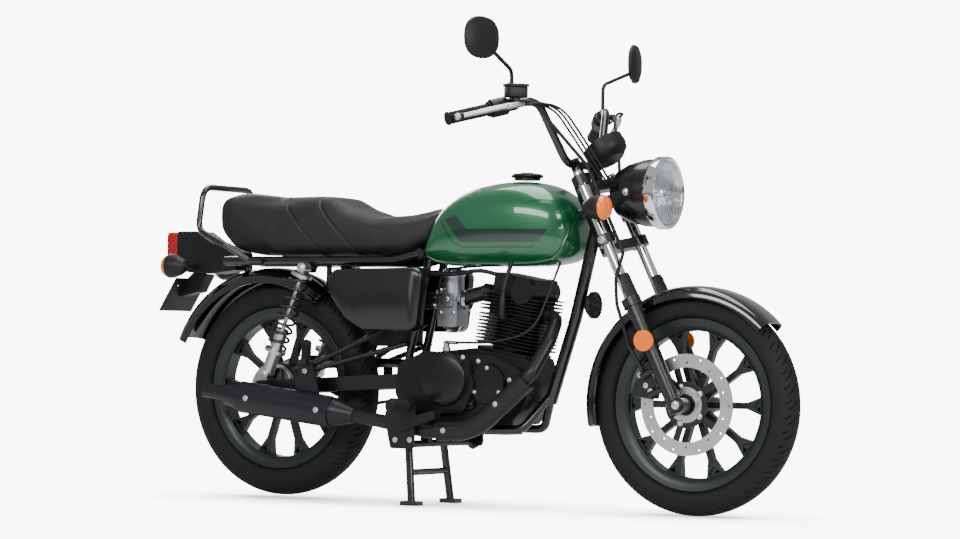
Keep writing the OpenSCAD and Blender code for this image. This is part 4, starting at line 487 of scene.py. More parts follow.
def half_shell(bm, path, radius, reach, outward, wall, sides=14):
    """Part-round shell extruded along a path, open on the side away from outward."""
    stations = []
    for count, point in enumerate(path):
        ahead = (path[min(count + 1, len(path) - 1)] - path[max(count - 1, 0)]).normalized()
        out = (outward - ahead * outward.dot(ahead)).normalized()
        stations.append(Matrix.Translation(point) @ Matrix((out, ahead.cross(out), ahead)).transposed().to_4x4())
    line = [bm.verts.new(Vector((math.cos(turn), math.sin(turn), 0)) * radius) for turn in
            (reach * (2 * side / sides - 1) for side in range(sides + 1))]
    edges = [bm.edges.new(pair) for pair in zip(line, line[1:])]
    bmesh.ops.transform(bm, matrix=stations[0], verts=line)
    for before, station in zip(stations, stations[1:]):
        line, edges = drawn_on(bm, edges)
        bmesh.ops.transform(bm, matrix=station @ before.inverted(), verts=line)
    bmesh.ops.recalc_face_normals(bm, faces=bm.faces)
    bmesh.ops.solidify(bm, geom=bm.faces[:], thickness=wall)


shield_run = ((0.262, -0.130, 0.352), (0.111, -0.150, 0.214), (0.000, -0.1535, 0.209))
shield_radius = 0.028
shield_reach = math.radians(112)
shield_wall = 0.0022
shield_bm = bmesh.new()
half_shell(shield_bm, rounded(shield_run, 0.07, 10), shield_radius, shield_reach, Vector((0, -1, 0)), shield_wall)
header_shield = fit(shield_bm, "header_shield", exhaust_black, "chassis")
shield_bolts = bmesh.new()
for shield_x, shield_z in ((0.186, 0.287), (0.030, 0.212)):
    shield_spot = header_shield.ray_cast(Vector((shield_x, -1, shield_z)), Vector((0, 1, 0)))[1]
    bolt(shield_bolts, shield_spot, (0, -1, 0), 0.006, 0.007)
fit(shield_bolts, "header_shield_bolts", screw_steel, "chassis")
side_bolts("muffler_shield_bolts", "chassis", "heat_shields", ((-0.610, 0.286), (-0.372, 0.259)), 0.0065, 0.006)

# Fuel tank
# A pressed steel tank in deep green metallic under clear lacquer, with a dark band and a thin
# line along each side; its two halves meet in a welded lip along the lower edge.
tank_rear = -0.111
tank_length = 0.470
tank_half = 0.131
tank_base = 0.661
tank_height = 0.238
tank_power = 2.7
tank_rings = ((0, 0.5, 0.13, 0.15), (0.035, 0.7, 0.09, 0.24), (0.08, 0.8, 0.03, 0.47), (0.13, 0.86, 0.01, 0.7),
              (0.22, 0.92, 0.004, 0.85), (0.4, 0.98, 0, 0.96), (0.6, 1, 0, 1), (0.76, 0.97, 0.004, 0.97),
              (0.88, 0.86, 0.02, 0.88), (0.95, 0.66, 0.07, 0.75), (0.985, 0.45, 0.15, 0.63), (1, 0.28, 0.22, 0.54))
tank_dark = (0.004, 0.022, 0.016, 1)
line_points = ((0.262, 0, 0.713), (0.044, 0, 0.713), (0.014, 0, 0.728), (-0.002, 0, 0.748), (-0.026, 0, 0.786))
line_half = 0.0022
band_quads = (((0.041, 0.726), (0.281, 0.726), (0.307, 0.762), (0.060, 0.762)),
              ((0.041, 0.726), (0.062, 0.762), (0.021, 0.802), (-0.013, 0.789)))


def squared(turn, power):
    return math.copysign(abs(turn) ** (2 / power), turn)


def ring_skin(bm, rings, sides, power):
    """Closed skin: one circle extruded from ring to ring, each given as (x, half width, low, high)."""
    loop = bmesh.ops.create_circle(bm, segments=sides, radius=1)["verts"]
    edges = edges_of(loop)
    ends = []
    for count, (x, half, low, high) in enumerate(rings):
        if count:
            follow, edges = drawn_on(bm, edges)
            loop = sorted(follow, key=lambda vert: math.atan2(vert.co.z - middle, vert.co.y))
        middle = (low + high) / 2
        for place_on, vert in enumerate(loop):
            turn = 2 * math.pi * place_on / sides - (math.pi if count else 0)
            vert.co = Vector((x, half * squared(math.cos(turn), power),
                              middle + (high - low) / 2 * squared(math.sin(turn), power)))
        if not count:
            loop = sorted(loop, key=lambda vert: math.atan2(vert.co.z - middle, vert.co.y))
        if count in (0, len(rings) - 1):
            ends.append(list(loop))
    for end in ends:
        bmesh.ops.contextual_create(bm, geom=end)
    bmesh.ops.remove_doubles(bm, verts=bm.verts, dist=0.00001)
    bmesh.ops.recalc_face_normals(bm, faces=bm.faces)


stripe_tree, stripe_in, stripe_out = group_tree(
    "stripe_run", {"Point": "v", "From": "v", "To": "v", "Half width": "f"}, {"Mask": "f"})
stripe_gap = vector_maths(stripe_tree, "SUBTRACT", stripe_in["Point"], stripe_in["From"])
stripe_span = vector_maths(stripe_tree, "SUBTRACT", stripe_in["To"], stripe_in["From"])
stripe_part = place(stripe_tree, "ShaderNodeMath", {
    0: vector_maths(stripe_tree, "DOT_PRODUCT", stripe_gap, stripe_span),
    1: vector_maths(stripe_tree, "DOT_PRODUCT", stripe_span, stripe_span)}, operation="DIVIDE", use_clamp=True)
stripe_foot = vector_maths(stripe_tree, "SCALE", stripe_span, Scale=stripe_part.outputs[0])
stripe_far = vector_maths(stripe_tree, "DISTANCE", stripe_gap, stripe_foot)
stripe_tree.links.new(maths(stripe_tree, "LESS_THAN", stripe_far, stripe_in["Half width"]), stripe_out["Mask"])

tank_green = finish("tank_green", (0.0012, 0.100, 0.033), (0.3, 0.38), 1800, 0.00002, tone=0.25,
                    Metallic=0.35, Coat_Weight=1.0, Coat_Roughness=0.03)
tank_tree = tank_green.node_tree
tank_spots = place(tank_tree, "ShaderNodeTexCoord").outputs["Object"]
tank_flat = vector_maths(tank_tree, "MULTIPLY", tank_spots, (1, 0, 1))
tank_masks = []
for quad in band_quads:
    quad_mask = None
    for (ax, az), (bx, bz) in zip(quad, quad[1:] + quad[:1]):
        reach = vector_maths(tank_tree, "DOT_PRODUCT", tank_flat, (bz - az, 0, ax - bx))
        inside = maths(tank_tree, "LESS_THAN", reach, ax * (bz - az) + az * (ax - bx))
        quad_mask = inside if quad_mask is None else maths(tank_tree, "MINIMUM", quad_mask, inside)
    tank_masks.append(quad_mask)
for start, stop in zip(line_points, line_points[1:]):
    run = place(tank_tree, "ShaderNodeGroup", node_tree=stripe_tree)
    tank_tree.links.new(tank_flat, run.inputs["Point"])
    run.inputs["From"].default_value = start
    run.inputs["To"].default_value = stop
    run.inputs["Half width"].default_value = line_half
    tank_masks.append(run.outputs["Mask"])
band_mask = tank_masks[0]
for mask in tank_masks[1:]:
    band_mask = maths(tank_tree, "MAXIMUM", band_mask, mask)
tank_shader = tank_tree.nodes["Principled BSDF"]
tank_mix = place(tank_tree, "ShaderNodeMix", {"Factor": band_mask}, data_type="RGBA")
tank_tree.links.new(tank_shader.inputs["Base Color"].links[0].from_socket, tank_mix.inputs["A"])
tank_mix.inputs["B"].default_value = tank_dark
tank_tree.links.new(tank_mix.outputs["Result"], tank_shader.inputs["Base Color"])

tank_bm = bmesh.new()
ring_skin(tank_bm, [(tank_rear + tank_length * along, tank_half * wide, tank_base + tank_height * low,
                     tank_base + tank_height * high) for along, wide, low, high in tank_rings], 32, tank_power)
tank = piece_from(tank_bm, "tank_shell", tank_green)
tank_smooth = tank.modifiers.new("smooth", "SUBSURF")
tank_smooth.levels = tank_smooth.render_levels = 2
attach(tank, "chassis")
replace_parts(tank, "fuel_tank")


def tank_edge(along, up, side):
    """Point of the tank's skin at a share of its length and a height above its lower edge."""
    for before, after in zip(tank_rings, tank_rings[1:]):
        if before[0] <= along <= after[0]:
            part = (along - before[0]) / (after[0] - before[0])
            wide, low, high = (a + (b - a) * part for a, b in zip(before[1:], after[1:]))
    rise = 1 - 2 * up / (tank_height * (high - low))
    half = tank_half * wide * (1 - min(1, abs(rise)) ** tank_power) ** (1 / tank_power)
    return Vector((tank_rear + tank_length * along, side * half, tank_base + tank_height * low + up))


lip_stations = ((0.05, 0.012), (0.1, 0.010), (0.16, 0.009), (0.24, 0.009), (0.34, 0.009), (0.44, 0.009),
                (0.54, 0.009), (0.64, 0.009), (0.74, 0.010), (0.82, 0.012), (0.88, 0.016), (0.92, 0.022),
                (0.945, 0.031), (0.962, 0.044), (0.974, 0.058), (0.980, 0.074))
lip_radii = [0.002] + [0.0042] * (len(lip_stations) - 2) + [0.002]
lip_bm = bmesh.new()
for side in (-1, 1):
    swept(lip_bm, [tank_edge(along, up, side) for along, up in lip_stations], lip_radii, 10)
fit(lip_bm, "tank_lip", tank_green, "chassis", 80)

# Fuel cap
# A turned neck and a moulded black lid with a raised grip, twisted onto the top of the tank.
cap_black = finish("cap_black", (0.006, 0.006, 0.0065), (0.3, 0.42), 800, 0.00005, Specular_IOR_Level=0.3)
dress("fuel_cap", cap_black, edge=0.002)
lid_outline = ((-0.002, 0), (-0.002, 0.043), (0.002, 0.045), (0.006, 0.043), (0.009, 0.036), (0.010, 0.022),
               (0.012, 0.016), (0.012, 0))
lid_bm = bmesh.new()
spun(lid_bm, lid_outline, (0.180, 0, 0.9085), (0, 0, 1), 40)
fit(lid_bm, "fuel_cap_lid", cap_black, "chassis")

# Seat
# One long foam cushion under a sewn black vinyl cover, stepped for rider and passenger; the
# panels meet in sunk seams across the step and down both sides.
seat_vinyl = finish("seat_vinyl", (0.0105, 0.011, 0.012), (0.48, 0.62), 1100, 0.00035, tone=0.25,
                    Specular_IOR_Level=0.3)
seat_nose = -0.046
seat_length = 0.752
seat_half = 0.122
seat_floor = 0.6893
seat_height = 0.176
seat_power = 3.4
seat_rings = ((1, 0.55, 0.62, 0.96), (0.985, 0.76, 0.34, 1.02), (0.93, 0.92, 0.12, 1.04), (0.74, 0.98, 0, 0.95),
              (0.55, 1, 0, 0.96), (0.47, 0.98, 0, 0.93), (0.39, 0.95, 0, 0.76), (0.28, 0.92, 0, 0.61),
              (0.16, 0.82, 0.05, 0.64), (0.1, 0.74, 0.17, 0.69), (0.065, 0.66, 0.235, 0.74),
              (0.03, 0.56, 0.585, 0.785), (0.005, 0.45, 0.8, 0.812))
seat_shrink = 0.004
seat_swell = 0.008
seat_base_band = 0.01
seat_cell = 0.006
seat_steps = 20
seam_paths = (((-0.562, 0.860), (-0.548, 0.826), (-0.498, 0.776), (-0.430, 0.690)),
              ((-0.452, 0.870), (-0.436, 0.832), (-0.381, 0.768), (-0.306, 0.690)))
seam_width = 0.006
seam_depth = 0.0032

seat_bm = bmesh.new()
ring_skin(seat_bm, [(seat_nose - seat_length * along, seat_half * wide - seat_shrink,
                     seat_floor + seat_height * low + seat_shrink / 2,
                     seat_floor + seat_height * high - seat_shrink)
                    for along, wide, low, high in seat_rings], 32, seat_power)
seat = piece_from(seat_bm, "seat_cushion", seat_vinyl)
seat_voxels = seat.modifiers.new("voxels", "REMESH")
seat_voxels.mode = "VOXEL"
seat_voxels.voxel_size = seat_cell
bpy.context.view_layer.objects.active = seat
bpy.ops.object.modifier_apply(modifier="voxels")
seat_start = [vert.co.copy() for vert in seat.data.vertices]
seat_cloth = seat.modifiers.new("cloth", "CLOTH")
seat_cloth.settings.use_pressure = True
seat_cloth.settings.uniform_pressure_force = 4
seat_cloth.settings.effector_weights.gravity = 0
seat_cloth.settings.tension_stiffness = 20
seat_cloth.point_cache.frame_end = seat_steps
for step in range(1, seat_steps + 1):
    scene.frame_set(step)
bpy.ops.object.modifier_apply(modifier="cloth")
scene.frame_set(1)
for vert, start in zip(seat.data.vertices, seat_start):
    move = vert.co - start
    if move.length > seat_swell:
        move = move.normalized() * seat_swell
    move.z = max(move.z, 0) if start.z < seat_floor + seat_base_band else move.z
    vert.co = start + move
seat_finer = bmesh.new()
seat_finer.from_mesh(seat.data)
for _ in range(8):
    bmesh.ops.smooth_vert(seat_finer, verts=seat_finer.verts, factor=0.5, use_axis_x=True, use_axis_y=True,
                          use_axis_z=True)
bmesh.ops.subdivide_edges(seat_finer, edges=seat_finer.edges, cuts=1, use_grid_fill=True, smooth=0.6)
seat_finer.normal_update()


def off_path(x, z, path):
    """Distance in the side view from a point to a line of straight runs."""
    best = 1.0
    for (ax, az), (bx, bz) in zip(path, path[1:]):
        run = Vector((bx - ax, bz - az))
        part = min(1, max(0, (Vector((x - ax, z - az)) @ run) / run.length_squared))
        best = min(best, (Vector((x - ax, z - az)) - run * part).length)
    return best


for vert in seat_finer.verts:
    near = min(off_path(vert.co.x, vert.co.z, path) for path in seam_paths)
    if near < seam_width:
        vert.co -= vert.normal * seam_depth * (1 + math.cos(math.pi * near / seam_width)) / 2
for face in seat_finer.faces:
    face.smooth = True
seat_finer.to_mesh(seat.data)
seat_finer.free()
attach(seat, "chassis")
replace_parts(seat, "seat")

# Side covers, fenders and tail
# Pressed steel fenders in gloss black, moulded side covers in a deeper satin, a grained
# moulded tail and plate bracket, and a bent steel grab rail bolted to the frame.
gloss_black = finish("gloss_black", (0.0035, 0.0035, 0.004), (0.06, 0.1), 300, 0.00003, Coat_Weight=0.8,
                     Coat_Roughness=0.03)
cover_satin = finish("cover_satin", (0.0045, 0.005, 0.0055), (0.2, 0.28), 300, 0.00004)
for name, material, edge in (("side_covers", cover_satin, 0.004), ("rear_fender", gloss_black, 0.0008),
                             ("front_fender", gloss_black, 0.0008), ("tail_lamp", moulded_black, 0.004),
                             ("plate_bracket", moulded_black, 0.001), ("grab_rail", frame_black, 0.0)):
    dress(name, material, edge=edge)


# Lamp lenses
# Moulded acrylic: ribbed red and amber lenses with a polished outer face, clipped into moulded black
# housings; the lenses carry a faint painted glow in their own colour, though the lamps are unlit.
def lens_finish(name, colour, painted_glow, ribs):
    material = finish(name, colour, (0.08, 0.14), 200, 0.00002, tone=0.2, Coat_Weight=0.3)
    tree = material.node_tree
    shader = tree.nodes["Principled BSDF"]
    spots = place(tree, "ShaderNodeTexCoord")
    wave = place(tree, "ShaderNodeTexWave", {"Vector": spots.outputs["Object"], "Scale": ribs},
                 bands_direction="Z")
    bump = place(tree, "ShaderNodeBump", {"Strength": 0.5, "Distance": 0.0008, "Height": wave.outputs["Fac"]})
    tree.links.new(bump.outputs[0], shader.inputs["Normal"])
    # Painted glow: the unlit lens gives out a little light of its own colour.
    shader.inputs["Emission Color"].default_value = (*colour, 1)
    shader.inputs["Emission Strength"].default_value = painted_glow
    return material


red_acrylic = lens_finish("red_acrylic", (0.36, 0.003, 0.005), 0.02, 45)
amber_acrylic = lens_finish("amber_acrylic", (0.80, 0.15, 0.0), 0.12, 60)
for name, material, edge in (("red_lenses", red_acrylic, 0.004), ("rear_amber_lenses", amber_acrylic, 0.0),
                             ("front_amber_lenses", amber_acrylic, 0.001), ("rear_indicators", moulded_black, 0.0),
                             ("front_indicators", moulded_black, 0.0)):
    dress(name, material, edge=edge)

# Rear suspension
# A welded box-section swingarm and two spring units with bright steel bodies and black coil
# springs, held top and bottom by nuts on pins.
satin_steel = finish("satin_steel", (0.5, 0.5, 0.52), (0.25, 0.38), 260, 0.00004, Metallic=1.0)
spring_black = finish("spring_black", (0.0045, 0.0045, 0.005), (0.2, 0.3), 400, 0.00003)
dress("swingarm", frame_black, edge=0.003)
dress("shock_absorbers", satin_steel)
dress("shock_springs", spring_black, crease=80)
dress("rear_axle", satin_steel, edge=0.0006)
side_bolts("shock_top_nuts", "chassis", "frame", ((-0.467, 0.655),), 0.0095, 0.009, (-1, 1))
side_bolts("shock_foot_nuts", "chassis", "swingarm", ((-0.587, 0.357),), 0.0085, 0.008, (-1, 1))

# Chain
# A roller chain of stamped steel plates, narrow and wide in turn, on pins and rollers, run
# round both sprockets on the left side.
chain_steel = finish("chain_steel", (0.28, 0.26, 0.23), (0.35, 0.5), 500, 0.00006, Metallic=0.9)
chain_y = 0.064
chain_rear = (-0.610, 0.314, 0.078)
chain_front = (-0.081, 0.345, 0.030)
chain_pitch = 0.0127
wrap_steps = 60
plate_radius = 0.0048
plate_thick = 0.0014
plate_out = (0.0057, 0.0042)
roller_radius = 0.0039
roller_width = 0.0085
chain_span = Vector((chain_front[0] - chain_rear[0], chain_front[1] - chain_rear[1]))
chain_slope = math.atan2(chain_span.y, chain_span.x)
chain_wrap = math.asin((chain_rear[2] - chain_front[2]) / chain_span.length)
chain_line = []
for (hub_x, hub_z, hub_r), start, stop in ((chain_rear, math.pi / 2 - chain_wrap, 1.5 * math.pi + chain_wrap),
                                           (chain_front, 1.5 * math.pi + chain_wrap, 2.5 * math.pi - chain_wrap)):
    for step in range(wrap_steps + 1):
        turn = start + (stop - start) * step / wrap_steps + chain_slope
        chain_line.append(Vector((hub_x + hub_r * math.cos(turn), hub_z + hub_r * math.sin(turn))))
chain_line.append(chain_line[0])
chain_round = sum((b - a).length for a, b in zip(chain_line, chain_line[1:]))
chain_links = 2 * round(chain_round / chain_pitch / 2)
chain_pins, chain_run, chain_at = [], 0.0, 0
for number in range(chain_links + 1):
    wanted = min(number * chain_round / chain_links, chain_round - 1e-9)
    while chain_run + (chain_line[chain_at + 1] - chain_line[chain_at]).length < wanted:
        chain_run += (chain_line[chain_at + 1] - chain_line[chain_at]).length
        chain_at += 1
    piece_run = chain_line[chain_at + 1] - chain_line[chain_at]
    chain_pins.append(chain_line[chain_at] + piece_run.normalized() * (wanted - chain_run))
across = Matrix.Rotation(math.pi / 2, 4, "X")
chain_bm = bmesh.new()
for number, (pin, after) in enumerate(zip(chain_pins, chain_pins[1:])):
    lean = Matrix.Rotation(-math.atan2(after.y - pin.y, after.x - pin.x), 4, "Y")
    middle = (pin + after) / 2
    for side in (-1, 1):
        plate = bmesh.ops.create_circle(chain_bm, cap_ends=True, segments=10, radius=plate_radius,
                                        matrix=across)["verts"]
        for vert in plate:
            vert.co.x += math.copysign((after - pin).length / 2, vert.co.x)
        plate_face = plate[0].link_faces[0]
        raised = bmesh.ops.extrude_face_region(chain_bm, geom=[plate_face])["geom"]
        raised = [part for part in raised if isinstance(part, bmesh.types.BMVert)]
        bmesh.ops.translate(chain_bm, verts=raised, vec=(0, plate_thick, 0))
        reach = side * plate_out[number % 2] - plate_thick / 2
        bmesh.ops.transform(chain_bm, verts=plate + raised,
                            matrix=Matrix.Translation((middle.x, chain_y + reach, middle.y)) @ lean)
    bmesh.ops.create_cone(chain_bm, cap_ends=False, segments=8, radius1=roller_radius, radius2=roller_radius,
                          depth=roller_width, matrix=Matrix.Translation((pin.x, chain_y, pin.y)) @ across)
bmesh.ops.recalc_face_normals(chain_bm, faces=chain_bm.faces)


# Sprockets and chain guard
# Toothed steel plates, the front one on its splined shaft and the rear one bolted to the
# hub; a pressed guard covers the chain's upper run.
def toothed(bm, hub, teeth, bore, root, tip, half):
    """Ring round a hub on the machine's left whose every second face is drawn out as a tooth."""
    spun(bm, ((-half, bore), (-half, root), (half, root), (half, bore), (-half, bore)), hub, (0, 1, 0), teeth * 2)
    rim = []
    for face in bm.faces:
        off = face.calc_center_median() - Vector(hub)
        turn = math.floor((math.atan2(off.z, off.x) / math.pi + 2) * teeth + 0.001)
        if abs(face.normal.y) < 0.5 and off.length > root * 0.8 and turn % 2:
            rim.append(face)
    for face in rim:
        bmesh.ops.inset_region(bm, faces=[face], thickness=0.0008, depth=tip - root)


front_hub = (chain_front[0], chain_y, chain_front[1])
rear_hub = (chain_rear[0], chain_y, chain_rear[1])
shaft_outline = ((-0.013, 0), (-0.013, 0.012), (0.006, 0.012), (0.006, 0))
toothed_front = bmesh.new()
toothed(toothed_front, front_hub, 14, 0.010, 0.0255, 0.0325, 0.003)
spun(toothed_front, shaft_outline, front_hub, (0, 1, 0), 20)
fit(toothed_front, "front_sprocket", chain_steel, "chassis", 30)
toothed_rear = bmesh.new()
toothed(toothed_rear, rear_hub, 38, 0.066, 0.0725, 0.0805, 0.0027)
fit(toothed_rear, "sprocket_teeth", chain_steel, "rear_wheel", 30)
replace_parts(fit(chain_bm, "chain_links", chain_steel, "chassis", 30), "drive_chain")
dress("chain_guard", moulded_black, edge=0.001)
sprocket_steel = finish("sprocket_steel", (0.34, 0.33, 0.31), (0.3, 0.44), 300, 0.00004, Metallic=0.6)
dress("rear_sprocket", sprocket_steel, edge=0.0005)

# Footrests and pedals
# Steel bars and brackets in satin black, bolted to the frame, with moulded rubber sleeves
# pushed onto the pegs and the gear pedal.
bracket_black = finish("bracket_black", (0.0055, 0.0055, 0.006), (0.34, 0.46), 500, 0.00006, Specular_IOR_Level=0.3)
rubber_black = finish("rubber_black", (0.008, 0.008, 0.008), (0.62, 0.76), 900, 0.0001, Specular_IOR_Level=0.22)
side_bolts("carrier_bolts", "chassis", "footrests", ((-0.119, 0.183), (-0.072, 0.184)), 0.006, 0.006, (-1, 1))
side_bolts("hanger_bolts", "chassis", "pillion_footrests", ((-0.439, 0.365),), 0.0085, 0.008, (-1, 1))


def ribbed_sleeve(bm, start, stop, bore, radius, ribs):
    """Rubber sleeve over a bar, with rings standing out along it."""
    run = Vector(stop) - Vector(start)
    pitch, valley, end = run.length / ribs, radius - 0.0016, run.length + 0.002
    outline = [(0, bore)]
    for rib in range(ribs):
        for share, rise in ((0, valley), (0.2, radius), (0.7, radius), (0.9, valley)):
            outline.append(((rib + share) * pitch, rise))
    outline += [(run.length, valley), (end, radius - 0.003), (end, 0), (0, 0), (0, bore)]
    spun(bm, outline, start, run, 24)


peg_bm = bmesh.new()
for side in (-1, 1):
    ribbed_sleeve(peg_bm, (-0.080, side * 0.196, 0.276), (-0.080, side * 0.279, 0.276), 0.0138, 0.0165, 11)
    ribbed_sleeve(peg_bm, (-0.434, side * 0.161, 0.402), (-0.423, side * 0.174, 0.447), 0.0118, 0.0138, 7)
ribbed_sleeve(peg_bm, (0.135, 0.137, 0.262), (0.135, 0.169, 0.262), 0.0088, 0.0105, 6)
fit(peg_bm, "peg_rubbers", rubber_black, "chassis")
for name in ("footrests", "pillion_footrests", "foot_controls"):
    dress(name, bracket_black, edge=0.001)

# Horn
# A round pressed steel horn on the downtube with a stepped black face, riveted at its rim.
dress("horn", moulded_black, edge=0.001)
horn_outline = ((-0.004, 0), (-0.004, 0.034), (0.002, 0.034), (0.002, 0.031), (-0.001, 0.029), (-0.001, 0.023),
                (0.002, 0.021), (0.002, 0.017), (-0.001, 0.015), (-0.001, 0.010), (0.003, 0.008), (0.003, 0))
horn_bm = bmesh.new()
spun(horn_bm, horn_outline, (0.400, 0, 0.558), (1, 0, 0), 40)
fit(horn_bm, "horn_face", bracket_black, "chassis")

# Stands
# Welded steel tube in the frame's black paint: a side stand on the left and a centre stand
# under the engine, each on its pivot pin.
dress("side_stand", frame_black)
dress("centre_stand", frame_black)

# Fork and yokes
# Chromed steel tubes in black cast sliders, clamped by cast yokes, with the wheel's steel
# axle through the sliders' feet.
chrome = finish("chrome", (0.82, 0.83, 0.85), (0.03, 0.06), 200, 0.000005, tone=0.05, Metallic=1.0)
black_alloy = finish("black_alloy", (0.005, 0.005, 0.0055), (0.24, 0.36), 500, 0.00005)
dress("fork_tubes", chrome)
dress("fork_sliders", black_alloy, edge=0.001)
dress("yokes", black_alloy, edge=0.0015)
dress("front_axle", satin_steel, edge=0.0006)

# Front brake disc and caliper
# A drilled steel disc, bright where the pads sweep it and black inside, bolted to the hub;
# a cast black caliper on the right slider.
front_axle = Vector((0.710, 0, 0.296))
disc_swept_r = 0.0988
dress("brake_caliper", black_alloy, edge=0.002)
disc_steel = finish("disc_steel", (0.56, 0.57, 0.59), (0.26, 0.36), 350, 0.00002, tone=0.15, Metallic=1.0)
disc_tree = disc_steel.node_tree
disc_spots = place(disc_tree, "ShaderNodeTexCoord").outputs["Object"]
disc_off = vector_maths(disc_tree, "SUBTRACT", disc_spots, front_axle)
disc_reach = vector_maths(disc_tree, "LENGTH", vector_maths(disc_tree, "MULTIPLY", disc_off, (1, 0, 1)))
part_painted(disc_steel, maths(disc_tree, "GREATER_THAN", disc_reach, disc_swept_r), (0.005, 0.005, 0.0055, 1))
dress("brake_disc", disc_steel, edge=0.0003)

# Sensor ring
# A stamped steel ring with radial slots on the disc's hub, held by five screws in round
# lobes.
ring_hub = Vector((0.710, -0.0662, 0.296))
ring_outline = ((0, 0.0285), (0, 0.0475), (0.0016, 0.0475), (0.0016, 0.0285), (0, 0.0285))
ring_slot_count = 36
ring_lobes = 5
ring_lobe_out = 0.0505
lobe_outline = ((-0.001, 0), (-0.001, 0.0085), (0.0016, 0.0085), (0.0016, 0))
ring_bm = bmesh.new()
spun(ring_bm, ring_outline, ring_hub, (0, -1, 0), ring_slot_count * 3)
ring_slots = []
for face in ring_bm.faces:
    off = face.calc_center_median() - ring_hub
    turn = math.floor((math.atan2(off.z, off.x) / math.pi + 2) * ring_slot_count * 1.5 + 0.001)
    if off.y < -0.0012 and turn % 3 == 0:
        ring_slots.append(face)
bmesh.ops.inset_region(ring_bm, faces=ring_slots, thickness=0.0003, depth=-0.0013)
for arm in range(ring_lobes):
    turn = math.radians(36 + 72 * arm)
    lobe = ring_hub + Vector((math.cos(turn), 0, math.sin(turn))) * ring_lobe_out
    spun(ring_bm, lobe_outline, lobe, (0, -1, 0), 20)
    bolt(ring_bm, lobe + Vector((0, -0.0016, 0)), (0, -1, 0), 0.0052, 0.0035)
fit(ring_bm, "sensor_ring", screw_steel, "front_wheel")

# Fork fasteners
# Plated steel bolts: the caliper's, the axle's ends, the lower yoke's pinch bolts and the
# caps screwed into the tops of the tubes.
side_bolts("caliper_bolts", "steering", "brake_caliper",
           ((0.582, 0.372), (0.600, 0.345), (0.614, 0.330)), 0.006, 0.006)
side_bolts("axle_caps", "steering", "front_axle", ((0.710, 0.296),), 0.009, 0.006, (-1, 1))
side_bolts("yoke_bolts", "steering", "yokes", ((0.4796, 0.731),), 0.0085, 0.008, (-1, 1))
fork_axis = Vector((-0.438371, 0, 0.898794))
fork_fore = Vector((0.898794, 0, 0.438371))


def up_fork(up, side):
    """Point on a fork leg's centre line, some way up from its foot."""
    return Vector((0.65396, side * 0.095, 0.26867)) + fork_fore * 0.046 + fork_axis * up


cap_bm = bmesh.new()
for side in (-1, 1):
    bolt(cap_bm, up_fork(0.6905, side), fork_axis, 0.0115, 0.009)
fit(cap_bm, "fork_caps", screw_steel, "steering")

# Fork guards
# Moulded black half sleeves clipped round the front of the sliders' tops, to keep stones off
# the tubes.
guard_line = ((0, 0.0245), (0.030, 0.0235), (0.062, 0.0225), (0.070, 0.0205))
guard_from = math.radians(-85)
guard_sweep = math.radians(170)
guard_wall = 0.0022
guard_bm = bmesh.new()
for side in (-1, 1):
    foot = up_fork(0.316, side)
    start = Matrix.Rotation(guard_from, 3, fork_axis) @ fork_fore
    line = [guard_bm.verts.new(foot + fork_axis * up + start * out) for up, out in guard_line]
    edges = [guard_bm.edges.new(pair) for pair in zip(line, line[1:])]
    bmesh.ops.spin(guard_bm, geom=line + edges, cent=foot, axis=fork_axis, angle=guard_sweep, steps=18)
bmesh.ops.recalc_face_normals(guard_bm, faces=guard_bm.faces)
bmesh.ops.solidify(guard_bm, geom=guard_bm.faces[:], thickness=guard_wall)
fit(guard_bm, "fork_guards", moulded_black, "steering")

# Handlebar and switches
# A bent steel tube in black paint, with moulded switch housings and cast perches clamped
# round it, mirrors screwed into them and rubber-sheathed cables.
dress("handlebar", frame_black)
dress("hand_controls", moulded_black, edge=0.001)
dress("mirrors", moulded_black)
dress("control_cables", lead_rubber)

# Grips
# Moulded rubber sleeves with fine ribs and a flange at the inner end, pushed onto the bar.
bar_tip = Vector((0.165, 0.402, 1.0426))
grip_in = (Vector((0.318, 0.195, 1.1066)) - bar_tip).normalized()
grip_fore = Vector((-grip_in.y, grip_in.x, 0)).normalized()
grip_ribs = 26
grip_pitch = 0.0042


def at_grip(along, fore, up, side):
    """Point along a grip from the bar's end, ahead of it and above it, on either side."""
    spot = bar_tip + grip_in * along + grip_fore * fore + Vector((0, 0, up))
    return Vector((spot.x, side * spot.y, spot.z))


grip_outline = [(-0.002, 0), (-0.002, 0.0175), (0.000, 0.0188), (0.003, 0.0188), (0.0035, 0.0158)]
for rib in range(grip_ribs):
    for along, out in ((0.0060, 0.0158), (0.0066, 0.0166), (0.0088, 0.0166), (0.0094, 0.0158)):
        grip_outline.append((along + rib * grip_pitch, out))
grip_outline += [(0.119, 0.0158), (0.119, 0.0205), (0.121, 0.021), (0.124, 0.020), (0.124, 0.0114),
                 (-0.0003, 0.0114), (-0.0003, 0)]
grip_bm = bmesh.new()
for side in (-1, 1):
    spun(grip_bm, grip_outline, at_grip(0, 0, 0, side), at_grip(1, 0, 0, side) - at_grip(0, 0, 0, side), 36)
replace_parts(fit(grip_bm, "ribbed_grips", rubber_black, "steering", 45), "hand_grips")

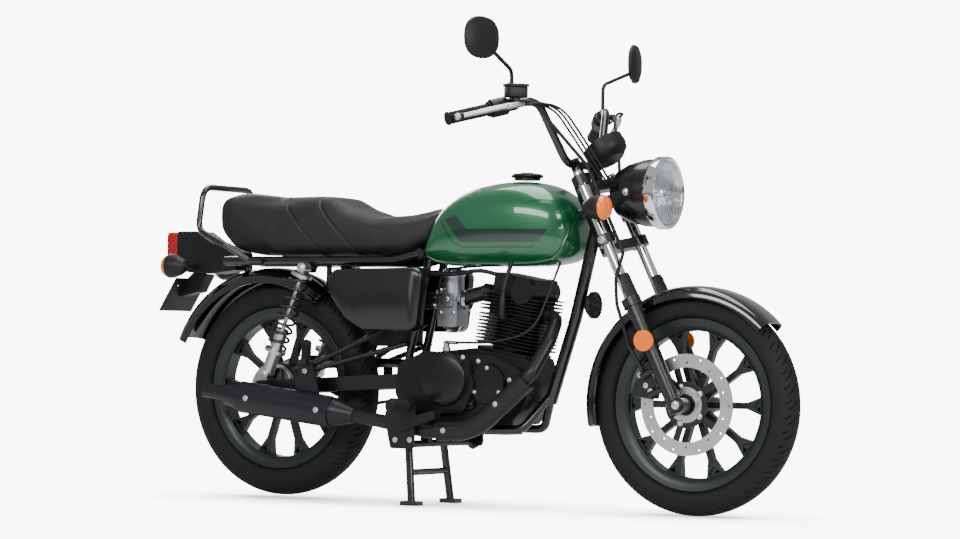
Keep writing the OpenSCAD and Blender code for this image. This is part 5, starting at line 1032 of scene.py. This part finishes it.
# Levers
# Forged alloy levers, thinner towards the end and finished with a ball, pinned in the perches.
lever_run = ((0.204, 0.040, -0.004), (0.186, 0.047, -0.003), (0.124, 0.052, 0), (0.030, 0.047, -0.001),
             (0.022, 0.046, 0))
lever_taper = [0.0092] * 7 + [0.0078] * 6 + [0.0070] * 6
lever_thin = 0.0068
lever_ball = ((0.018, 0.0078), (0.014, 0.0098), (0.009, 0.0098), (0.005, 0.0080), (0.003, 0.003))
lever_ball_fore = 0.046
lever_bm = bmesh.new()
for side in (-1, 1):
    lever = rounded([at_grip(*spot, side) for spot in lever_run], 0.03, 5)
    radii = lever_taper + [lever_thin] * (len(lever) - len(lever_taper)) + [out for _, out in lever_ball]
    swept(lever_bm, lever + [at_grip(along, lever_ball_fore, 0, side) for along, _ in lever_ball], radii, 14)
fit(lever_bm, "hand_levers", satin_steel, "steering", 60)

# Brake reservoir
# A moulded black box for the brake fluid on the right perch, with a wider lid held by two
# screws.
reservoir_spot = at_grip(0.189, 0.030, 0.031, -1)
reservoir_long = at_grip(1, 0, 0, -1) - at_grip(0, 0, 0, -1)
reservoir_long = Vector((reservoir_long.x, reservoir_long.y, 0)).normalized()
reservoir_lean = Matrix((reservoir_long, Vector((0, 0, 1)).cross(reservoir_long), (0, 0, 1))).transposed()
reservoir_blocks = (((0.056, 0.040, 0.030), 0, 0.005), ((0.060, 0.044, 0.008), 0.0175, 0.002),
                    ((0.020, 0.018, 0.026), -0.024, 0.003))
reservoir_bm = bmesh.new()
for size, lift, soft in reservoir_blocks:
    soft_block(reservoir_bm, Matrix.Translation(reservoir_spot + Vector((0, 0, lift)))
               @ reservoir_lean.to_4x4() @ Matrix.Diagonal((*size, 1)), soft, 3)
for aside in (-0.021, 0.021):
    bolt(reservoir_bm, reservoir_spot + reservoir_lean @ Vector((aside, 0, 0.0215)), (0, 0, 1), 0.003, 0.002)
fit(reservoir_bm, "brake_reservoir", moulded_black, "steering")

# Bar cables
# Steel wire in rubber sheaths from the perches and switches down between the fork tubes,
# side by side.
cable_starts = {-1: ((0.150, 0.024, -0.006), (0.162, 0.024, 0.004), (0.196, 0.030, -0.010)),
                1: ((0.150, 0.024, -0.006), (0.196, 0.044, -0.004))}
cable_radius = 0.0034
cable_bm = bmesh.new()
for side, starts in cable_starts.items():
    for number, (along, fore, up) in enumerate(starts):
        cable = [at_grip(along, fore, up, side), at_grip(along + 0.040, fore + 0.012, up + 0.002, side),
                 Vector((0.352 + 0.008 * number, side * (0.172 - 0.012 * number), 1.090)),
                 Vector((0.402 + 0.008 * number, side * (0.112 - 0.012 * number), 0.985)),
                 Vector((0.432 + 0.010 * number, side * (0.062 - 0.010 * number), 0.905)),
                 Vector((0.462, side * 0.030, 0.872))]
        swept(cable_bm, rounded(cable, 0.05, 7), cable_radius, 8)
fit(cable_bm, "bar_cables", lead_rubber, "steering", 60)

# Mirror glass
# Silvered glass with a ground edge, glued into the moulded shells and turned towards the
# rider.
mirror_silver = finish("mirror_silver", (0.86, 0.88, 0.9), (0.015, 0.03), 100, 0.000002, tone=0.03, Metallic=1.0)
mirror_half = (0.0545, 0.0475)
mirror_power = 2.4
mirror_spot = (0.276, 0.426, 1.2516)
mirror_turn = math.radians(14)
mirror_bm = bmesh.new()
for side in (-1, 1):
    pane = bmesh.ops.create_circle(mirror_bm, cap_ends=True, segments=48, radius=1)["verts"]
    for vert in pane:
        turn = math.atan2(vert.co.y, vert.co.x)
        vert.co = Vector((0.0002, mirror_half[0] * squared(math.cos(turn), mirror_power),
                          mirror_half[1] * squared(math.sin(turn), mirror_power)))
    bmesh.ops.inset_region(mirror_bm, faces=[pane[0].link_faces[0]], thickness=0.002)
    rim = [vert for vert in mirror_bm.verts if vert.is_valid and abs(vert.co.x) < 0.001 and vert not in pane]
    bmesh.ops.translate(mirror_bm, verts=rim, vec=(-0.0014, 0, 0))
    seat_at = Matrix.Translation((mirror_spot[0], side * mirror_spot[1], mirror_spot[2]))
    bmesh.ops.transform(mirror_bm, verts=pane + rim, matrix=seat_at @ Matrix.Rotation(side * mirror_turn, 4, "Z"))
fit(mirror_bm, "mirror_glass", mirror_silver, "steering")

# Headlamp
# A painted bowl with a chrome rim, a silvered reflector with its bulb shield, and a domed
# glass fluted on the inside; bolts through the ears hold it between the forks.
lens_glass = finish("lens_glass", (0.95, 0.97, 0.98), (0.01, 0.02), 120, 0.0001, tone=0.02,
                    Transmission_Weight=1.0, IOR=1.5)
dress("headlamp_bowl", cover_satin, edge=0.001)
dress("headlamp_rim", chrome)
dress("headlamp_lens", lens_glass)

lamp_centre = (0, 0, 0.860)
reflector_silver = finish("reflector_silver", (0.9, 0.91, 0.93), (0.06, 0.12), 300, 0.00001, tone=0.05, Metallic=1.0)
reflector_outline = ((0.5846, 0), (0.5846, 0.0857), (0.6100, 0.0857), (0.6080, 0.0835), (0.6010, 0.0740),
                     (0.5945, 0.0600), (0.5895, 0.0400), (0.5866, 0.0200), (0.5860, 0.0130), (0.5990, 0.0125),
                     (0.6050, 0.0095), (0.6070, 0))
reflector_bm = bmesh.new()
spun(reflector_bm, reflector_outline, lamp_centre, (1, 0, 0), 64)
fit(reflector_bm, "lamp_reflector", reflector_silver, "steering", 50)

glass_front = 0.6120
glass_back = 0.6095
glass_bow = 0.0135
glass_radius = 0.0860
glass_inner_radius = 0.0845
flute_from = 0.6107
flute_pitch = 0.0105
flute_depth = 0.0008
glass_turns = [math.radians(turn) for turn in range(0, 91, 5)]
glass_outline = [(glass_front + glass_bow * math.sin(turn), glass_radius * math.cos(turn)) for turn in glass_turns]
glass_outline += [(glass_back + glass_bow * math.sin(turn), glass_inner_radius * math.cos(turn))
                  for turn in reversed(glass_turns)]
glass_bm = bmesh.new()
spun(glass_bm, glass_outline + [(glass_front, glass_radius)], lamp_centre, (1, 0, 0), 128)
for vert in glass_bm.verts:
    reach = min(1, math.hypot(vert.co.y, vert.co.z - lamp_centre[2]) / glass_radius)
    if vert.co.x < flute_from + glass_bow * math.sqrt(1 - reach * reach) and reach < 0.97:
        vert.co.x += flute_depth * math.sin(2 * math.pi * vert.co.y / flute_pitch)
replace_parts(fit(glass_bm, "lamp_glass", lens_glass, "steering", 60), "headlamp_lens")
side_bolts("lamp_ear_bolts", "steering", "headlamp_bowl", ((0.532, 0.860),), 0.0075, 0.006, (-1, 1))

# Meter
# One round speedometer in a moulded black case: a dark dial with printed white marks, a red
# hand on its boss and a domed clear cover.
dress("instrument", moulded_black, edge=0.001)
meter_tilt = math.radians(36)
meter_axis = Vector((-math.sin(meter_tilt), 0, math.cos(meter_tilt)))
meter_face = Vector((0.4288, 0, 0.9721)) + meter_axis * 0.0231
meter_turn = Matrix((meter_axis.cross(Vector((0, 1, 0))), Vector((0, 1, 0)), meter_axis)).transposed().to_4x4()
meter_zero = -135
meter_sweep = 270
mark_steps = 36
mark_out = 0.0465
mark_thick = 0.0005
dial_bm = bmesh.new()
spun(dial_bm, ((0, 0), (0, 0.0505), (0.0006, 0.0505), (0.0006, 0)), meter_face, meter_axis, 48)
fit(dial_bm, "meter_dial", cover_black, "steering")
mark_white = finish("mark_white", (0.75, 0.75, 0.73), (0.4, 0.5), 500, 0.00001)
mark_bm = bmesh.new()
for mark in range(mark_steps + 1):
    turn = math.radians(meter_zero + meter_sweep * mark / mark_steps)
    long, wide = (0.0045, 0.0009) if mark % 3 else (0.009, 0.0014)
    bmesh.ops.create_cube(mark_bm, size=1, matrix=Matrix.Translation(meter_face + meter_axis * 0.0008)
                          @ meter_turn @ Matrix.Rotation(turn, 4, "Z")
                          @ Matrix.Translation((mark_out - long / 2, 0, 0))
                          @ Matrix.Diagonal((long, wide, mark_thick, 1)))
fit(mark_bm, "meter_marks", mark_white, "steering")
hand_length = 0.042
hand_bm = bmesh.new()
spun(hand_bm, ((0.0006, 0), (0.0006, 0.0055), (0.004, 0.005), (0.0045, 0)), meter_face, meter_axis, 20)
bmesh.ops.create_cone(hand_bm, cap_ends=True, segments=8, radius1=0.0016, radius2=0.0005, depth=hand_length,
                      matrix=Matrix.Translation(meter_face + meter_axis * 0.0028) @ meter_turn
                      @ Matrix.Rotation(math.radians(meter_zero), 4, "Z")
                      @ Matrix.Translation((hand_length / 2, 0, 0)) @ Matrix.Rotation(math.pi / 2, 4, "Y"))
# The hand shares the red lens acrylic, and with it that finish's faint painted glow.
fit(hand_bm, "meter_hand", red_acrylic, "steering")
cover_outline = ((0.0050, 0), (0.0050, 0.0525), (0.0064, 0.0525), (0.0072, 0.045), (0.0085, 0.02), (0.0088, 0))
meter_glass_bm = bmesh.new()
spun(meter_glass_bm, cover_outline, meter_face, meter_axis, 48)
fit(meter_glass_bm, "meter_glass", lens_glass, "steering", 60)

# Wheels
# Cast aluminium wheels in dark grey paint, with spokes that fork before the rim.
wheel_grey = finish("wheel_grey", (0.016, 0.020, 0.021), (0.3, 0.42), 500, 0.00005, Metallic=0.35)
dress("front_wheel", wheel_grey, edge=0.0012)
dress("rear_wheel", wheel_grey, edge=0.0012)

# Tyres
# Moulded road tyres seated on the rims, with slanting grooves and shorter shoulder cuts that
# take turns on the two sides.
tyre_rubber = finish("tyre_rubber", (0.0085, 0.0085, 0.0088), (0.6, 0.78), 700, 0.00012, Specular_IOR_Level=0.22)
bead_radius = 0.217
flank_radius = 0.2315
belly_share = 0.42
tyre_power = 2.35
tyre_steps = 360
groove_every = 8
groove_edge = 0.0006
groove_depth = 0.0045
groove_slant = 3.2


def road_tyre(name, node, body, hub, outer, width, bead_half):
    """Tyre turned from its section, with slanting grooves sunk into both shoulders."""
    hub, half = Vector(hub), width / 2
    belly = bead_radius + belly_share * (outer - bead_radius)
    section = [(half * squared(math.cos(turn), tyre_power),
                belly + (outer - belly) * squared(math.sin(turn), tyre_power))
               for turn in (math.radians(step) for step in range(0, 181, 6))]
    flank = [(-bead_half - (half - bead_half) * math.cos(turn), belly - (belly - flank_radius) * math.sin(turn))
             for turn in (math.radians(step) for step in range(18, 91, 18))]
    section += flank + [(-bead_half, bead_radius), (bead_half, bead_radius)]
    section += [(-along, out) for along, out in reversed(flank)]
    bm = bmesh.new()
    spun(bm, section + section[:1], hub, (0, 1, 0), tyre_steps)
    grooves = []
    for face in bm.faces:
        off = face.calc_center_median() - hub
        if math.hypot(off.x, off.z) <= belly:
            continue
        turn = math.floor(math.degrees(math.atan2(off.z, off.x))) % 360 + (0 if off.y > 0 else groove_every // 2)
        aside = abs(off.y) / width
        tread = 0.08 < aside < 0.39 and turn % groove_every == 0
        shoulder = 0.30 < aside < 0.44 and turn % groove_every == groove_every // 2
        if tread or shoulder:
            grooves.append(face)
    bmesh.ops.inset_region(bm, faces=grooves, thickness=groove_edge, depth=-groove_depth)
    for vert in bm.verts:
        off = vert.co - hub
        vert.co = hub + Matrix.Rotation(groove_slant * abs(off.y), 3, "Y") @ off
    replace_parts(fit(bm, name, tyre_rubber, body, 40), node)


road_tyre("front_road_tyre", "front_tyre", "front_wheel", (0.710, 0, 0.296), 0.296, 0.084, 0.0255)
road_tyre("rear_road_tyre", "rear_tyre", "rear_wheel", (-0.610, 0, 0.314), 0.306, 0.100, 0.0315)
